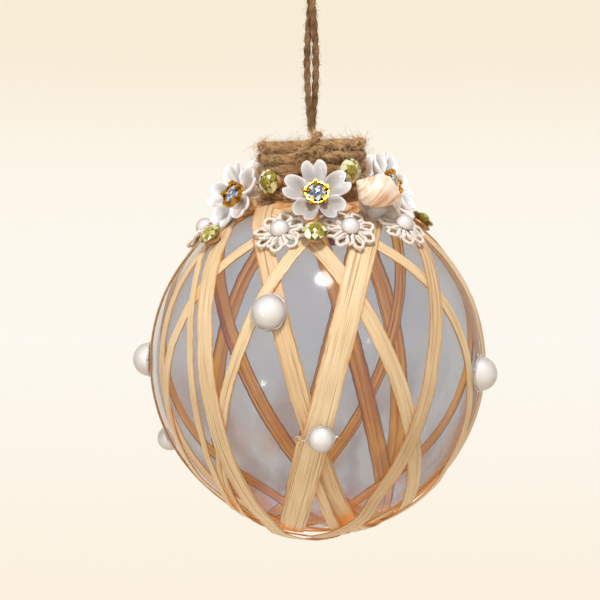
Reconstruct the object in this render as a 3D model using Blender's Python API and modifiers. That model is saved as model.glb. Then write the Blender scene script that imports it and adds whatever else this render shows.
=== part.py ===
"""Hanging ball ornament: a clear ball wrapped with flat strips, with flowers and twine round its neck."""
import math

import bmesh
import bpy
import numpy as np
from mathutils import Matrix, Vector

# Ball, neck and cap
ball_radius = 0.0400
ball_wall = 0.0011
neck_radius = 0.0100
neck_rise = 0.0126
cap_thickness = 0.0010
cap_plug_depth = 0.0040

# Twine round the neck
winding_diameter = 0.0028
winding_pitch = 0.0030
cap_stand_out = 0.0004

# Hanging loop
hang_length = 0.0400
loop_twine_diameter = 0.0017
loop_leg_spread = 0.0021
eye_width = 0.0070
eye_height = 0.0074

# The ornament hangs a little crooked, its neck towards -X
lean_angle = math.radians(1.77)

# Strips
strip_thickness = 0.00024
strip_neck_angle = math.radians(27)
ramp_length = 0.0035
crossing_margin = 0.0009
wide_strip = 0.0045

# Flowers, with a setting and a stone in each
petal_reach = 0.0084
petal_thickness = 0.0008
petal_cup = 0.0022
petals_per_flower = 5
setting_radius = 0.0030
setting_height = 0.0020
rhinestone_radius = 0.0021
rhinestone_depth = 0.0016

# Yellow stones, lace daisies, pearls and shells
yellow_stone_radius = 0.0030
yellow_stone_depth = 0.0034
lace_reach = 0.0067
lace_thickness = 0.0008
lace_petals = 8
lace_pearl_radius = 0.0027
large_pearl_radius = 0.0041
small_pearl_radius = 0.0030
shell_length = 0.0140
shell_radius = 0.0047

# Clearance between neighbouring solids
contact_gap = 0.0003
strip_gap = 0.00013

# Heights above the ball's centre that follow from these
neck_top = ball_radius + neck_rise
crown_height = neck_top + contact_gap + cap_thickness
winding_reach = neck_radius + winding_diameter
shoulder_height = math.sqrt(ball_radius ** 2 - winding_reach ** 2)

# Each strip: turn and lean of its plane's normal in degrees, the plane's shift from the centre on the near
# and on the far side in ball radii, width, and the stretch that it covers in degrees from the neck, through
# the bottom.
# They are laid in this order, each over those before it.
strips = {
    "strip_left_limb": (-80, 6, 0.250, -0.100, 0.0034, 0, 360),
    "strip_left_outer": (-80, -13, 0.320, -0.225, 0.0031, 0, 360),
    "strip_limb": (87, -3, -0.190, -0.025, 0.0050, 0, 360),
    "strip_right_inner": (27, 21, -0.025, -0.050, 0.0040, 0, 360),
    "strip_right_outer": (82, 14, -0.365, 0.223, 0.0033, 0, 360),
    "strip_middle_left": (-5, 14, -0.050, 0.133, 0.0046, 0, 360),
    "strip_left_inner": (-33, -20, 0.045, -0.110, 0.0030, 0, 360),
    "strip_narrow_middle": (-3, 15, -0.155, 0.000, 0.0026, 108, 166),
    "strip_narrow_bottom": (-3, -15, 0.035, 0.000, 0.0021, 112, 166),
    "strip_front": (-1, -16, 0.083, 0.085, 0.0062, 0, 360),
    "strip_right": (32, -15, 0.133, -0.077, 0.0041, 0, 360),
    "strip_left": (-27, 7, -0.215, 0.030, 0.0047, 0, 360),
    "strip_narrow_left": (-21, 4, -0.420, 0.000, 0.0021, 35, 150),
}

# Flowers round the neck: way round from the front (+ to +X), distance out from the winding, height above the
# shoulder, then the way that the face turns, its rise, and the turn of its petals.
flowers = {
    "flower_front": (2, 0.0074, 0.0025, 3, 30, 4),
    "flower_left": (-61, 0.0077, 0.0026, -50, 24, 20),
    "flower_right": (73, 0.0057, 0.0042, 70, 26, 40),
    "flower_back_right": (142, 0.0070, 0.0031, 142, 30, 10),
    "flower_back_left": (-142, 0.0070, 0.0029, -142, 30, 55),
}

# Yellow stones on the ball: way round in degrees and distance down the ball from the winding
ball_stones = {
    "yellow_stone_front": (0, 0.0158),
    "yellow_stone_left": (-58, 0.0163),
    "yellow_stone_back": (170, 0.0198),
    "yellow_stone_back_right": (108, 0.0149),
}

# Yellow stones on the neck's winding: way round in degrees and drop below the neck's top
winding_stones = {
    "yellow_stone_winding_left": (-42, 0.0088),
    "yellow_stone_winding_right": (34, 0.0068),
    "yellow_stone_winding_back": (170, 0.0076),
}

# Lace daisies on the ball: way round in degrees and distance down the ball from the winding
lace_daisies = {
    "lace_daisy_left": (-17.5, 0.0141),
    "lace_daisy_middle": (18, 0.0141),
    "lace_daisy_right": (51, 0.0142),
    "lace_daisy_back": (-106, 0.0149),
}

# Shells: way round, distance of the middle out from the winding, height above the shoulder, then the way
# round that its length is square to, and its slope
shells = {
    "shell_front": (38, 0.0129, 0.0024, 14, -34),
    "shell_back": (-178, 0.0128, 0.0022, -178, 25),
}

# Loose pearls on the ball: way round and height angle in degrees, and radius
loose_pearls = {
    "pearl_front": (-16.5, 21, large_pearl_radius),
    "pearl_low": (0, -20, small_pearl_radius),
    "pearl_right": (69, -4, large_pearl_radius),
    "pearl_left": (-95, 2, large_pearl_radius),
    "pearl_left_low": (-96, -26, small_pearl_radius),
    "pearl_back": (-162, 12.6, large_pearl_radius),
    "pearl_back_low": (180, -30.6, small_pearl_radius),
}

# Fineness of the facets
ball_segments = 30
ball_outer_steps = 12
ball_inner_steps = 7
cap_segments = 20
strip_loop_steps = 48
route_steps_per_strip_step = 5
winding_points_per_turn = 15
leg_steps = 11
eye_steps = 10
spokes_per_petal = 6
spokes_per_lace_petal = 3
setting_segments = 10
stone_segments = 8
pearl_segments = 12
shell_segments = 10


def clear_scene():
    for old in list(bpy.data.objects):
        bpy.data.objects.remove(old, do_unlink=True)


def make_material(name, colour, roughness, metallic=0.0, alpha=1.0):
    material = bpy.data.materials.new(name)
    material.use_nodes = True
    shader = material.node_tree.nodes["Principled BSDF"]
    shader.inputs["Base Color"].default_value = (*colour, 1.0)
    shader.inputs["Roughness"].default_value = roughness
    shader.inputs["Metallic"].default_value = metallic
    shader.inputs["Alpha"].default_value = alpha
    return material


def add_object(name, data, material, parent):
    item = bpy.data.objects.new(name, data)
    if not data.materials:
        data.materials.append(material)
    parts.objects.link(item)
    item.parent = parent
    return item


def mesh_from(name, work):
    """Turns a bmesh into a smooth-shaded mesh with its faces pointing out."""
    bmesh.ops.recalc_face_normals(work, faces=work.faces)
    mesh = bpy.data.meshes.new(name)
    work.to_mesh(mesh)
    work.free()
    mesh.shade_smooth()
    mesh.set_sharp_from_angle(angle=math.radians(40))
    return mesh


def turned(name, outline, segments, material, parent, inner_from=None):
    """A solid turned about Z from a profile of (radius, height) points, running down its outer side.

    With inner_from, the points from that one on are the inner skin, and the profile's two ends join.
    """
    edges = [(i, i + 1) for i in range(len(outline) - 1) if i + 1 != inner_from]
    if inner_from is not None:
        edges.append((len(outline) - 1, 0))
    mesh = bpy.data.meshes.new(name)
    mesh.from_pydata([(radius, 0.0, height) for radius, height in outline], edges, [])
    item = add_object(name, mesh, material, parent)
    screw = item.modifiers.new("Turn", "SCREW")
    screw.steps = segments
    screw.render_steps = segments
    screw.use_merge_vertices = True
    screw.merge_threshold = 0.00001
    return item


def arc(radius, start, stop, steps):
    """Points (radius from the axis, height) on a circle round the origin, angles in radians from the top."""
    points = []
    for i in range(steps + 1):
        angle = start + (stop - start) * i / steps
        points.append((radius * abs(round(math.sin(angle), 9)), radius * math.cos(angle)))
    return points


def compass(turn):
    """Unit vector level with the ground, turned from the front (-Y) towards +X by this many degrees."""
    angle = math.radians(turn)
    return Vector((math.sin(angle), -math.cos(angle), 0.0))


def ball_direction(turn, rise):
    """Unit vector from the ball's centre, this many degrees round from the front and up from its waist."""
    angle = math.radians(rise)
    return compass(turn) * math.cos(angle) + Vector((0.0, 0.0, math.sin(angle)))


def down_the_ball(turn, distance):
    """Unit vector from the ball's centre to a spot this far down its surface from the winding's rim."""
    angle = math.asin(winding_reach / ball_radius) + distance / ball_radius
    return compass(turn) * math.sin(angle) + Vector((0.0, 0.0, math.cos(angle)))


def by_the_neck(turn, out, above):
    """Place at a distance out from the neck's winding and a height above the ball's shoulder."""
    return compass(turn) * (winding_reach + out) + Vector((0.0, 0.0, shoulder_height + above))


def facing(place, outward, spin=0.0):
    """Matrix that puts a piece at a place with its own Z along outward and its Y as far up as it can."""
    side = Vector((0.0, 0.0, 1.0)).cross(outward).normalized()
    up = outward.cross(side)
    turn = Matrix((side, up, outward)).transposed().to_4x4()
    return Matrix.Translation(place) @ turn @ Matrix.Rotation(math.radians(spin), 4, "Z")


def strip_route(strip, steps):
    """Unit vectors along a strip's centreline and across it, from the neck through the bottom."""
    turn, lean, near_shift, far_shift, width, first, last = strip
    turn, lean = math.radians(turn), math.radians(lean)
    normal = np.array((math.cos(turn) * math.cos(lean), math.sin(turn) * math.cos(lean), math.sin(lean)))
    top = np.array((0.0, 0.0, 1.0)) - normal * normal[2]
    top /= np.linalg.norm(top)
    near = np.cross(top, normal)
    if near[1] - abs(near[0]) * math.copysign(0.5, turn * near[0]) > 0:
        near = -near
    angles = np.radians(np.linspace(first, last, steps + 1))
    ahead = np.sin(angles)
    share = np.clip(0.5 + ahead * 0.9, 0.0, 1.0)
    share = share * share * (3.0 - 2.0 * share)
    shift = far_shift + (near_shift - far_shift) * share
    circle = np.cos(angles)[:, None] * top + ahead[:, None] * near
    along = circle * np.sqrt(1.0 - shift ** 2)[:, None] + shift[:, None] * normal
    along = along[along[:, 2] < math.cos(strip_neck_angle)]
    across = np.cross(np.gradient(along, axis=0), along)
    across /= np.linalg.norm(across, axis=1)[:, None]
    return along, across


def top_of_strips(laid, spots, margin):
    """Height above the ball of the highest strip within a margin of each spot (unit vectors)."""
    highest = np.full(len(spots), contact_gap - strip_gap)
    for along, across, heights, width in laid.values():
        apart = np.linalg.norm(spots[:, None, :] - along[None, :, :], axis=2) * ball_radius
        tops = np.where(apart < width / 2 + margin, heights[None, :] + strip_thickness, 0.0)
        highest = np.maximum(highest, tops.max(axis=1))
    return highest


def spread(heights, spacing, flat):
    """Carries each lift to the stations beside it: level for the length flat, then a smooth ramp down."""
    stations = np.arange(len(heights)) * spacing
    distance = np.abs(stations[:, None] - stations[None, :])
    ramp = np.clip((distance - flat) / ramp_length, 0.0, 1.0)
    weight = 0.5 + 0.5 * np.cos(np.pi * ramp)
    return contact_gap + np.max((heights - contact_gap)[None, :] * weight, axis=1)


def lay_strips():
    """Routes of all strips with the height of each underside above the ball, each over those before it."""
    laid = {}
    for name, strip in strips.items():
        width, first, last = strip[4:]
        steps = round(strip_loop_steps * (last - first) / 360) * route_steps_per_strip_step
        along, across = strip_route(strip, steps)
        spacing = ball_radius * np.linalg.norm(along[1] - along[0])
        heights = np.full(len(along), contact_gap)
        for share in np.linspace(-0.5, 0.5, 5):
            spots = along + across * ((width + crossing_margin) * share / ball_radius)
            heights = np.maximum(heights, top_of_strips(laid, spots, crossing_margin) + strip_gap)
        heights = spread(heights, spacing, spacing * (route_steps_per_strip_step + 1))
        stations = np.arange(len(along))
        heights = np.interp(stations, stations[::route_steps_per_strip_step],
                            heights[::route_steps_per_strip_step])
        laid[name] = (along, across, heights, width)
    return laid


def resting_height(laid, direction, footprint):
    """Distance from the ball's centre at which a piece with this footprint rests on strips or ball."""
    return ball_radius + float(top_of_strips(laid, np.array([direction]), footprint)[0]) + contact_gap


def make_strip(name, laid, parent):
    """A flat band that follows the ball at the heights worked out for it."""
    along, across, heights, width = laid[name]
    offsets = (-0.5, 0.0, 0.5) if width > wide_strip else (-0.5, 0.5)
    work = bmesh.new()
    rings = []
    for pick in range(0, len(along), route_steps_per_strip_step):
        under, over = [], []
        for offset in offsets:
            direction = along[pick] + across[pick] * (offset * width / ball_radius)
            direction /= np.linalg.norm(direction)
            low = ball_radius + heights[pick]
            under.append(work.verts.new(direction * low))
            over.append(work.verts.new(direction * (low + strip_thickness)))
        rings.append(over + under[::-1])
    for first, second in zip(rings, rings[1:]):
        for i in range(len(first)):
            j = (i + 1) % len(first)
            work.faces.new((first[i], first[j], second[j], second[i]))
    work.faces.new(rings[0][::-1])
    work.faces.new(rings[-1])
    add_object(name, mesh_from(name, work), palm, parent)


def make_ball(parent):
    inner_radius = ball_radius - ball_wall
    bore = neck_radius - ball_wall
    outline = [(neck_radius, neck_top)]
    outline += arc(ball_radius, math.asin(neck_radius / ball_radius), math.pi, ball_outer_steps)
    inner_from = len(outline)
    outline += arc(inner_radius, math.pi, math.asin(bore / inner_radius), ball_inner_steps)
    outline.append((bore, neck_top))
    turned("clear_ball", outline, ball_segments, clear_plastic, parent, inner_from)


def make_cap(parent):
    plug_radius = neck_radius - ball_wall - contact_gap
    rim = neck_top + contact_gap
    outline = [
        (0.0, crown_height),
        (neck_radius * 0.7, crown_height - cap_thickness * 0.15),
        (neck_radius, rim + cap_thickness * 0.4),
        (neck_radius, rim),
        (plug_radius, rim),
        (plug_radius, rim - cap_plug_depth),
        (0.0, rim - cap_plug_depth),
    ]
    turned("neck_cap", outline, cap_segments, pale_plastic, parent)


def make_tube(name, points, diameter, parent):
    curve = bpy.data.curves.new(name, "CURVE")
    curve.dimensions = "3D"
    curve.bevel_depth = diameter / 2
    curve.bevel_resolution = 1
    curve.use_fill_caps = True
    curve.render_resolution_u = 0
    spline = curve.splines.new("POLY")
    spline.points.add(len(points) - 1)
    for point, place in zip(spline.points, points):
        point.co = (*place, 1.0)
    add_object(name, curve, jute, parent)


def make_winding(parent):
    """A helix from just under the cap's crown down to the ball's shoulder."""
    facet_stretch = 1.0 / math.cos(math.pi / winding_points_per_turn)
    radius = (neck_radius + contact_gap + winding_diameter / 2) * facet_stretch
    top = crown_height - cap_stand_out - winding_diameter / 2
    clear_of_ball = ball_radius + contact_gap + winding_diameter / 2
    bottom = math.sqrt(clear_of_ball ** 2 - radius ** 2)
    steps = int((top - bottom) / winding_pitch * winding_points_per_turn)
    points = []
    for i in range(steps + 1):
        turns = i / winding_points_per_turn
        side = compass(180.0 - 360.0 * turns) * radius
        points.append((side.x, side.y, top - winding_pitch * turns))
    make_tube("neck_twine", points, winding_diameter, parent)


def make_hanging_loop():
    """Two legs that turn half round each other on their way up and open into an eye, its top at the origin."""
    twine_radius = loop_twine_diameter / 2
    leg_bottom = -hang_length + contact_gap + twine_radius
    leg_top = twine_radius - eye_height
    swing = loop_leg_spread / 2
    legs = {-1: [], 1: []}
    for side, leg in legs.items():
        for i in range(leg_steps + 1):
            share = i / leg_steps
            turn = math.pi * (0.5 - share)
            height = leg_bottom + (leg_top - leg_bottom) * share
            leg.append((side * swing * math.cos(turn), side * swing * math.sin(turn), height))
    eye = []
    for i in range(1, eye_steps):
        angle = math.tau * i / eye_steps
        depth = swing * math.cos(angle / 2)
        height = leg_top + eye_height * (1.0 - math.cos(angle)) / 2
        eye.append((eye_width / 2 * math.sin(angle), depth, height))
    make_tube("hanging_loop", legs[-1] + eye + legs[1][::-1], loop_twine_diameter, None)


def plate_mesh(name, rim_at, height_at, thickness, spokes, rings):
    """A round plate whose rim and height follow two functions, made of rings round its middle."""
    work = bmesh.new()
    skins = []
    for drop in (0.0, thickness):
        middle = work.verts.new((0.0, 0.0, height_at(0.0) - drop))
        loops = []
        for share in rings:
            loop = []
            for i in range(spokes):
                angle = math.tau * i / spokes
                radius = rim_at(angle) * share
                height = height_at(share) - drop
                loop.append(work.verts.new((radius * math.sin(angle), radius * math.cos(angle), height)))
            loops.append(loop)
        skins.append((middle, loops))
    for i in range(spokes):
        j = (i + 1) % spokes
        for middle, loops in skins:
            work.faces.new((middle, loops[0][i], loops[0][j]))
            for inner, outer in zip(loops, loops[1:]):
                work.faces.new((inner[i], outer[i], outer[j], inner[j]))
        upper, lower = skins[0][1][-1], skins[1][1][-1]
        work.faces.new((upper[i], lower[i], lower[j], upper[j]))
    return mesh_from(name, work)


def petal_rim(angle):
    """Distance of a flower's rim from its middle: each petal is round, with a notch at its tip."""
    share = angle * petals_per_flower / math.tau + 0.5
    across = abs(share - math.floor(share) - 0.5) * 2
    notch = 0.14 * math.exp(-(across / 0.18) ** 2)
    return petal_reach * (1.0 - 0.42 * across ** 3.5 - notch)


def petal_height(share):
    return petal_cup * (share ** 2 - 0.25)


def lace_rim(angle):
    """Distance of a daisy's rim from its middle: round loops side by side."""
    return lace_reach * (0.82 + 0.18 * math.cos(angle * lace_petals))


def lace_height(share):
    """The daisy lies on the ball, so it falls away towards its rim."""
    return lace_thickness - ball_radius * (1.0 - math.cos(lace_reach / ball_radius * share))


def stone_outline(radius, depth):
    """Half profile of a cut stone from its table down to its point, the point at the origin."""
    return [(0.0, depth), (radius * 0.58, depth), (radius, depth * 0.66), (radius, depth * 0.58), (0.0, 0.0)]


def make_flower(name, setting, parent):
    turn, out, above, face_turn, face_rise, spin = setting
    stand = facing(by_the_neck(turn, out, above), ball_direction(face_turn, face_rise), spin)
    petals = add_object(name + "_petals", petal_mesh, pearl_white, parent)
    petals.matrix_local = stand
    floor = petal_height(0.45) + contact_gap
    recess = setting_height - rhinestone_depth * 0.66
    hollow = rhinestone_radius + contact_gap
    outline = [
        (0.0, recess * 0.4),
        (hollow, recess),
        (hollow, setting_height),
        (setting_radius, setting_height),
        (setting_radius * 0.8, setting_height * 0.4),
        (setting_radius * 0.45, 0.0),
        (0.0, 0.0),
    ]
    cup = turned(name + "_setting", outline, setting_segments, gold, parent)
    cup.matrix_local = stand @ Matrix.Translation((0.0, 0.0, floor))
    stone_floor = floor + recess * 0.4 + contact_gap
    outline = stone_outline(rhinestone_radius, rhinestone_depth)
    stone = turned(name + "_rhinestone", outline, stone_segments, clear_stone, parent)
    stone.matrix_local = stand @ Matrix.Translation((0.0, 0.0, stone_floor))


def make_yellow_stone(name, stand, parent):
    outline = stone_outline(yellow_stone_radius, yellow_stone_depth)
    stone = turned(name, outline, stone_segments, olive_yellow, parent)
    stone.matrix_local = stand


def make_half_pearl(name, radius, stand, parent):
    """A flat-backed pearl: a dome on a disc."""
    outline = arc(radius, 0.0, math.pi / 2, pearl_segments // 4) + [(0.0, 0.0)]
    pearl = turned(name, outline, pearl_segments, pearl_white, parent)
    pearl.matrix_local = stand


def make_lace_daisy(name, turn, distance, laid, parent):
    outward = down_the_ball(turn, distance)
    stand = facing(outward * resting_height(laid, outward, lace_reach), outward)
    daisy = add_object(name, lace_mesh, lace_cotton, parent)
    daisy.matrix_local = stand
    on_top = Matrix.Translation((0.0, 0.0, lace_thickness + contact_gap))
    make_half_pearl(name + "_pearl", lace_pearl_radius, stand @ on_top, parent)


def make_shell(name, setting, parent):
    """A small snail shell: whorls that grow from the point of its spire, with a rounded mouth end."""
    turn, out, above, square_to, slope = setting
    whorls = (0.22, 0.45, 0.72, 1.0)
    spire_share = 0.72
    outline = [(0.0, shell_length / 2)]
    for i, size in enumerate(whorls):
        seam = shell_length * (0.5 - spire_share * (i + 0.15) / len(whorls))
        bulge = shell_length * (0.5 - spire_share * (i + 0.6) / len(whorls))
        outline.append((shell_radius * size * 0.80, seam))
        outline.append((shell_radius * size, bulge))
    outline.append((shell_radius * 0.62, -shell_length * 0.40))
    outline.append((0.0, -shell_length / 2))
    shell = turned(name, outline, shell_segments, shell_peach, parent)
    angle = math.radians(slope)
    upward = Vector((0.0, 0.0, 1.0))
    spire = -upward.cross(compass(square_to)) * math.cos(angle) - upward * math.sin(angle)
    place = Matrix.Translation(by_the_neck(turn, out, above))
    shell.matrix_local = place @ spire.to_track_quat("Z", "Y").to_matrix().to_4x4()


clear_scene()
parts = bpy.data.collections.new("ball_ornament")
bpy.context.scene.collection.children.link(parts)

clear_plastic = make_material("clear_plastic", (0.80, 0.82, 0.88), 0.05, alpha=0.25)
pale_plastic = make_material("pale_plastic", (0.78, 0.78, 0.76), 0.4)
jute = make_material("jute", (0.30, 0.19, 0.09), 0.9)
palm = make_material("palm", (0.62, 0.42, 0.22), 0.55)
pearl_white = make_material("pearl_white", (0.86, 0.83, 0.78), 0.25)
gold = make_material("gold", (0.85, 0.62, 0.22), 0.25, metallic=1.0)
clear_stone = make_material("clear_stone", (0.85, 0.87, 0.90), 0.03, alpha=0.6)
olive_yellow = make_material("olive_yellow", (0.48, 0.40, 0.05), 0.05)
lace_cotton = make_material("lace_cotton", (0.82, 0.79, 0.72), 0.9)
shell_peach = make_material("shell_peach", (0.80, 0.52, 0.33), 0.35)

# The ball hangs from the end of the twine, its neck's crown there, and leans about that point
ball_centre = bpy.data.objects.new("ball_centre", None)
parts.objects.link(ball_centre)
ball_centre.location.x = crown_height * math.sin(lean_angle)
ball_centre.location.z = -hang_length - crown_height * math.cos(lean_angle)
ball_centre.rotation_euler.y = -lean_angle

petal_mesh = plate_mesh("petals", petal_rim, petal_height, petal_thickness,
                        petals_per_flower * spokes_per_petal, (0.45, 1.0))
lace_mesh = plate_mesh("lace", lace_rim, lace_height, lace_thickness,
                       lace_petals * spokes_per_lace_petal, (1.0,))

make_ball(ball_centre)
make_cap(ball_centre)
make_winding(ball_centre)
make_hanging_loop()
laid_strips = lay_strips()
for strip_name in strips:
    make_strip(strip_name, laid_strips, ball_centre)
for flower_name, flower in flowers.items():
    make_flower(flower_name, flower, ball_centre)
for stone_name, (stone_turn, stone_distance) in ball_stones.items():
    stone_way = down_the_ball(stone_turn, stone_distance)
    stone_place = stone_way * resting_height(laid_strips, stone_way, contact_gap)
    make_yellow_stone(stone_name, facing(stone_place, stone_way), ball_centre)
for stone_name, (stone_turn, stone_drop) in winding_stones.items():
    stone_way = compass(stone_turn)
    stone_place = stone_way * (winding_reach + 3 * contact_gap) + Vector((0.0, 0.0, neck_top - stone_drop))
    make_yellow_stone(stone_name, facing(stone_place, stone_way), ball_centre)
for daisy_name, (daisy_turn, daisy_distance) in lace_daisies.items():
    make_lace_daisy(daisy_name, daisy_turn, daisy_distance, laid_strips, ball_centre)
for shell_name, shell in shells.items():
    make_shell(shell_name, shell, ball_centre)
for pearl_name, (pearl_turn, pearl_rise, pearl_radius) in loose_pearls.items():
    pearl_way = ball_direction(pearl_turn, pearl_rise)
    pearl_place = pearl_way * resting_height(laid_strips, pearl_way, pearl_radius)
    make_half_pearl(pearl_name, pearl_radius, facing(pearl_place, pearl_way), ball_centre)
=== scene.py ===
import math

import bmesh
import bpy
import numpy as np
from mathutils import Matrix, Vector, noise


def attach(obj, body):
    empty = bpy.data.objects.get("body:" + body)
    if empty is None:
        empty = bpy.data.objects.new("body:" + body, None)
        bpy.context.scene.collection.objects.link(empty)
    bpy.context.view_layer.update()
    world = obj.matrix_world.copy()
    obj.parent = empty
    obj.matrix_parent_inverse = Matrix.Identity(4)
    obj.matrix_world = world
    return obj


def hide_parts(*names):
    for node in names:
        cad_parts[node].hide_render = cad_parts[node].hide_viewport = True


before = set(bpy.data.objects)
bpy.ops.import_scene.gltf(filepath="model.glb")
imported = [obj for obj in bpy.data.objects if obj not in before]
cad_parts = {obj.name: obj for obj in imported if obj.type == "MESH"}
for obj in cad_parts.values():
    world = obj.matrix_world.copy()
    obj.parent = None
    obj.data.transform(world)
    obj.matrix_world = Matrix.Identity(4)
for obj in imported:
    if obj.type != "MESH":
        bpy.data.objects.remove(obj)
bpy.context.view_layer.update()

print("frame loaded:", len(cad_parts), "nodes")

# Sizes shared with the CAD part, in metres and degrees
ball = {"radius": 0.0400, "wall": 0.0011, "neckRadius": 0.0100, "neckRise": 0.0126, "gap": 0.0003, "lip": 0.0003,
        "lean": 1.77}
cap = {"thickness": 0.0010, "plugDepth": 0.0040, "dome": 0.15, "lumps": 0.00035, "lumpScale": 330.0}
winding = {"diameter": 0.0028, "pitch": 0.0030, "standOut": 0.0004}
loop = {"length": 0.0400, "diameter": 0.0017, "spread": 0.0021, "eyeWidth": 0.0070, "eyeHeight": 0.0074}

neckTop = ball["radius"] + ball["neckRise"]
crownHeight = neckTop + ball["gap"] + cap["thickness"]
windingReach = ball["neckRadius"] + winding["diameter"]
shoulderHeight = math.sqrt(ball["radius"] ** 2 - windingReach ** 2)
lean = math.radians(ball["lean"])
ballCentre = Vector((crownHeight * math.sin(lean), 0.0, -loop["length"] - crownHeight * math.cos(lean)))
ballStand = Matrix.Translation(ballCentre) @ Matrix.Rotation(-lean, 4, "Y")

# Camera: level with the photograph, a little above the ball's waist
cameraSetup = {"distance": 0.75, "rise": 4.0, "sensor": 36.0, "viewWidth": 0.14424,
               "leftOfBall": 0.0044, "aboveBall": 0.0147, "nearest": 0.01}
rise = math.radians(cameraSetup["rise"])
lookAlong = Vector((0.0, math.cos(rise), -math.sin(rise)))
cameraUp = Vector((1.0, 0.0, 0.0)).cross(lookAlong)
aim = ballCentre - Vector((cameraSetup["leftOfBall"], 0.0, 0.0)) + cameraUp * cameraSetup["aboveBall"]
cameraData = bpy.data.cameras.new("camera")
cameraData.sensor_width = cameraSetup["sensor"]
cameraData.lens = cameraSetup["sensor"] * cameraSetup["distance"] / cameraSetup["viewWidth"]
cameraData.clip_start = cameraSetup["nearest"]
camera = bpy.data.objects.new("camera", cameraData)
camera.location = aim - lookAlong * cameraSetup["distance"]
camera.rotation_euler = (math.pi / 2 - rise, 0.0, 0.0)
bpy.context.scene.collection.objects.link(camera)
bpy.context.scene.camera = camera


# Materials

def screenColour(red, green, blue):
    # a colour as a screen shows it, 0 to 255, made linear
    shares = [value / 255 for value in (red, green, blue)]
    return (*[s / 12.92 if s <= 0.04045 else ((s + 0.055) / 1.055) ** 2.4 for s in shares], 1.0)


def newMaterial(name, sockets):
    material = bpy.data.materials.new(name)
    material.use_nodes = True
    shader = material.node_tree.nodes["Principled BSDF"]
    for label, value in sockets.items():
        shader.inputs[label].default_value = value
    return material


def addNode(tree, kind, sockets, **choices):
    # a socket takes a plain value or another node's output; the new node's outputs come back
    node = tree.nodes.new(kind)
    for label, value in choices.items():
        setattr(node, label, value)
    for label, value in sockets.items():
        if isinstance(value, bpy.types.NodeSocket):
            tree.links.new(value, node.inputs[label])
        else:
            node.inputs[label].default_value = value
    return node.outputs


def plug(material, source, socket):
    shader = material.node_tree.nodes["Principled BSDF"]
    material.node_tree.links.new(source, shader.inputs[socket])


# What follows an output is added to that output's own tree

def addRamp(value, stops):
    ramp = value.id_data.nodes.new("ShaderNodeValToRGB")
    value.id_data.links.new(value, ramp.inputs["Fac"])
    elements = ramp.color_ramp.elements
    while len(elements) < len(stops):
        elements.new(0.5)
    for element, (place, colour) in zip(elements, stops):
        element.position = place
        element.color = colour
    return ramp.outputs["Color"]


def addTones(value, *stops):
    # each stop is its place and a colour as a screen shows it
    return addRamp(value, [(place, screenColour(*colour)) for place, *colour in stops])


def addMask(value, low, high, most=1.0):
    # 0 as far as low, and from there up to most at high
    return addRamp(value, [(low, black), (high, (most, most, most, 1.0))])


def addRange(value, start, stop, low=0.0, high=1.0):
    sockets = {"Value": value, "From Min": start, "From Max": stop, "To Min": low, "To Max": high}
    return addNode(value.id_data, "ShaderNodeMapRange", sockets)["Result"]


def addMix(share, first, second, blend="MIX"):
    # three numbers are a colour as a screen shows it
    colours = [screenColour(*c) if isinstance(c, tuple) and len(c) == 3 else c for c in (first, second)]
    sockets = {0: share, 6: colours[0], 7: colours[1]}
    return addNode(share.id_data, "ShaderNodeMix", sockets, data_type="RGBA", blend_type=blend)[2]


def addMath(operation, first, second=0.0):
    tree = (first if isinstance(first, bpy.types.NodeSocket) else second).id_data
    return addNode(tree, "ShaderNodeMath", {0: first, 1: second}, operation=operation)[0]


def times(first, second):
    return addMath("MULTIPLY", first, second)


def plus(first, second):
    return addMath("ADD", first, second)


def addNoise(coordinates, scale, stretch=(1.0, 1.0, 1.0), detail=4.0, roughness=0.55, shift=0.0):
    tree = coordinates.id_data
    mapping = addNode(tree, "ShaderNodeMapping", {
        "Vector": coordinates, "Location": (shift, shift, shift), "Scale": stretch})
    sockets = {"Vector": mapping["Vector"], "Scale": scale, "Detail": detail, "Roughness": roughness}
    return addNode(tree, "ShaderNodeTexNoise", sockets)["Fac"]


def addBump(material, height, distance, strength):
    sockets = {"Height": height, "Distance": distance, "Strength": strength}
    plug(material, addNode(material.node_tree, "ShaderNodeBump", sockets)["Normal"], "Normal")


def objectPlace(material):
    return addNode(material.node_tree, "ShaderNodeTexCoord", {})["Object"]


def objectHeight(place):
    return addNode(place.id_data, "ShaderNodeSeparateXYZ", {"Vector": place})["Z"]


def uvPlace(material):
    return addNode(material.node_tree, "ShaderNodeUVMap", {})["UV"]


def attributeValue(material, name):
    return addNode(material.node_tree, "ShaderNodeAttribute", {}, attribute_name=name)["Fac"]


def turnedAway(material, blend=0.5):
    # 0 where the surface faces the eye, 1 at its outline
    return addNode(material.node_tree, "ShaderNodeLayerWeight", {"Blend": blend})["Facing"]


black = (0.0, 0.0, 0.0, 1.0)


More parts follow.
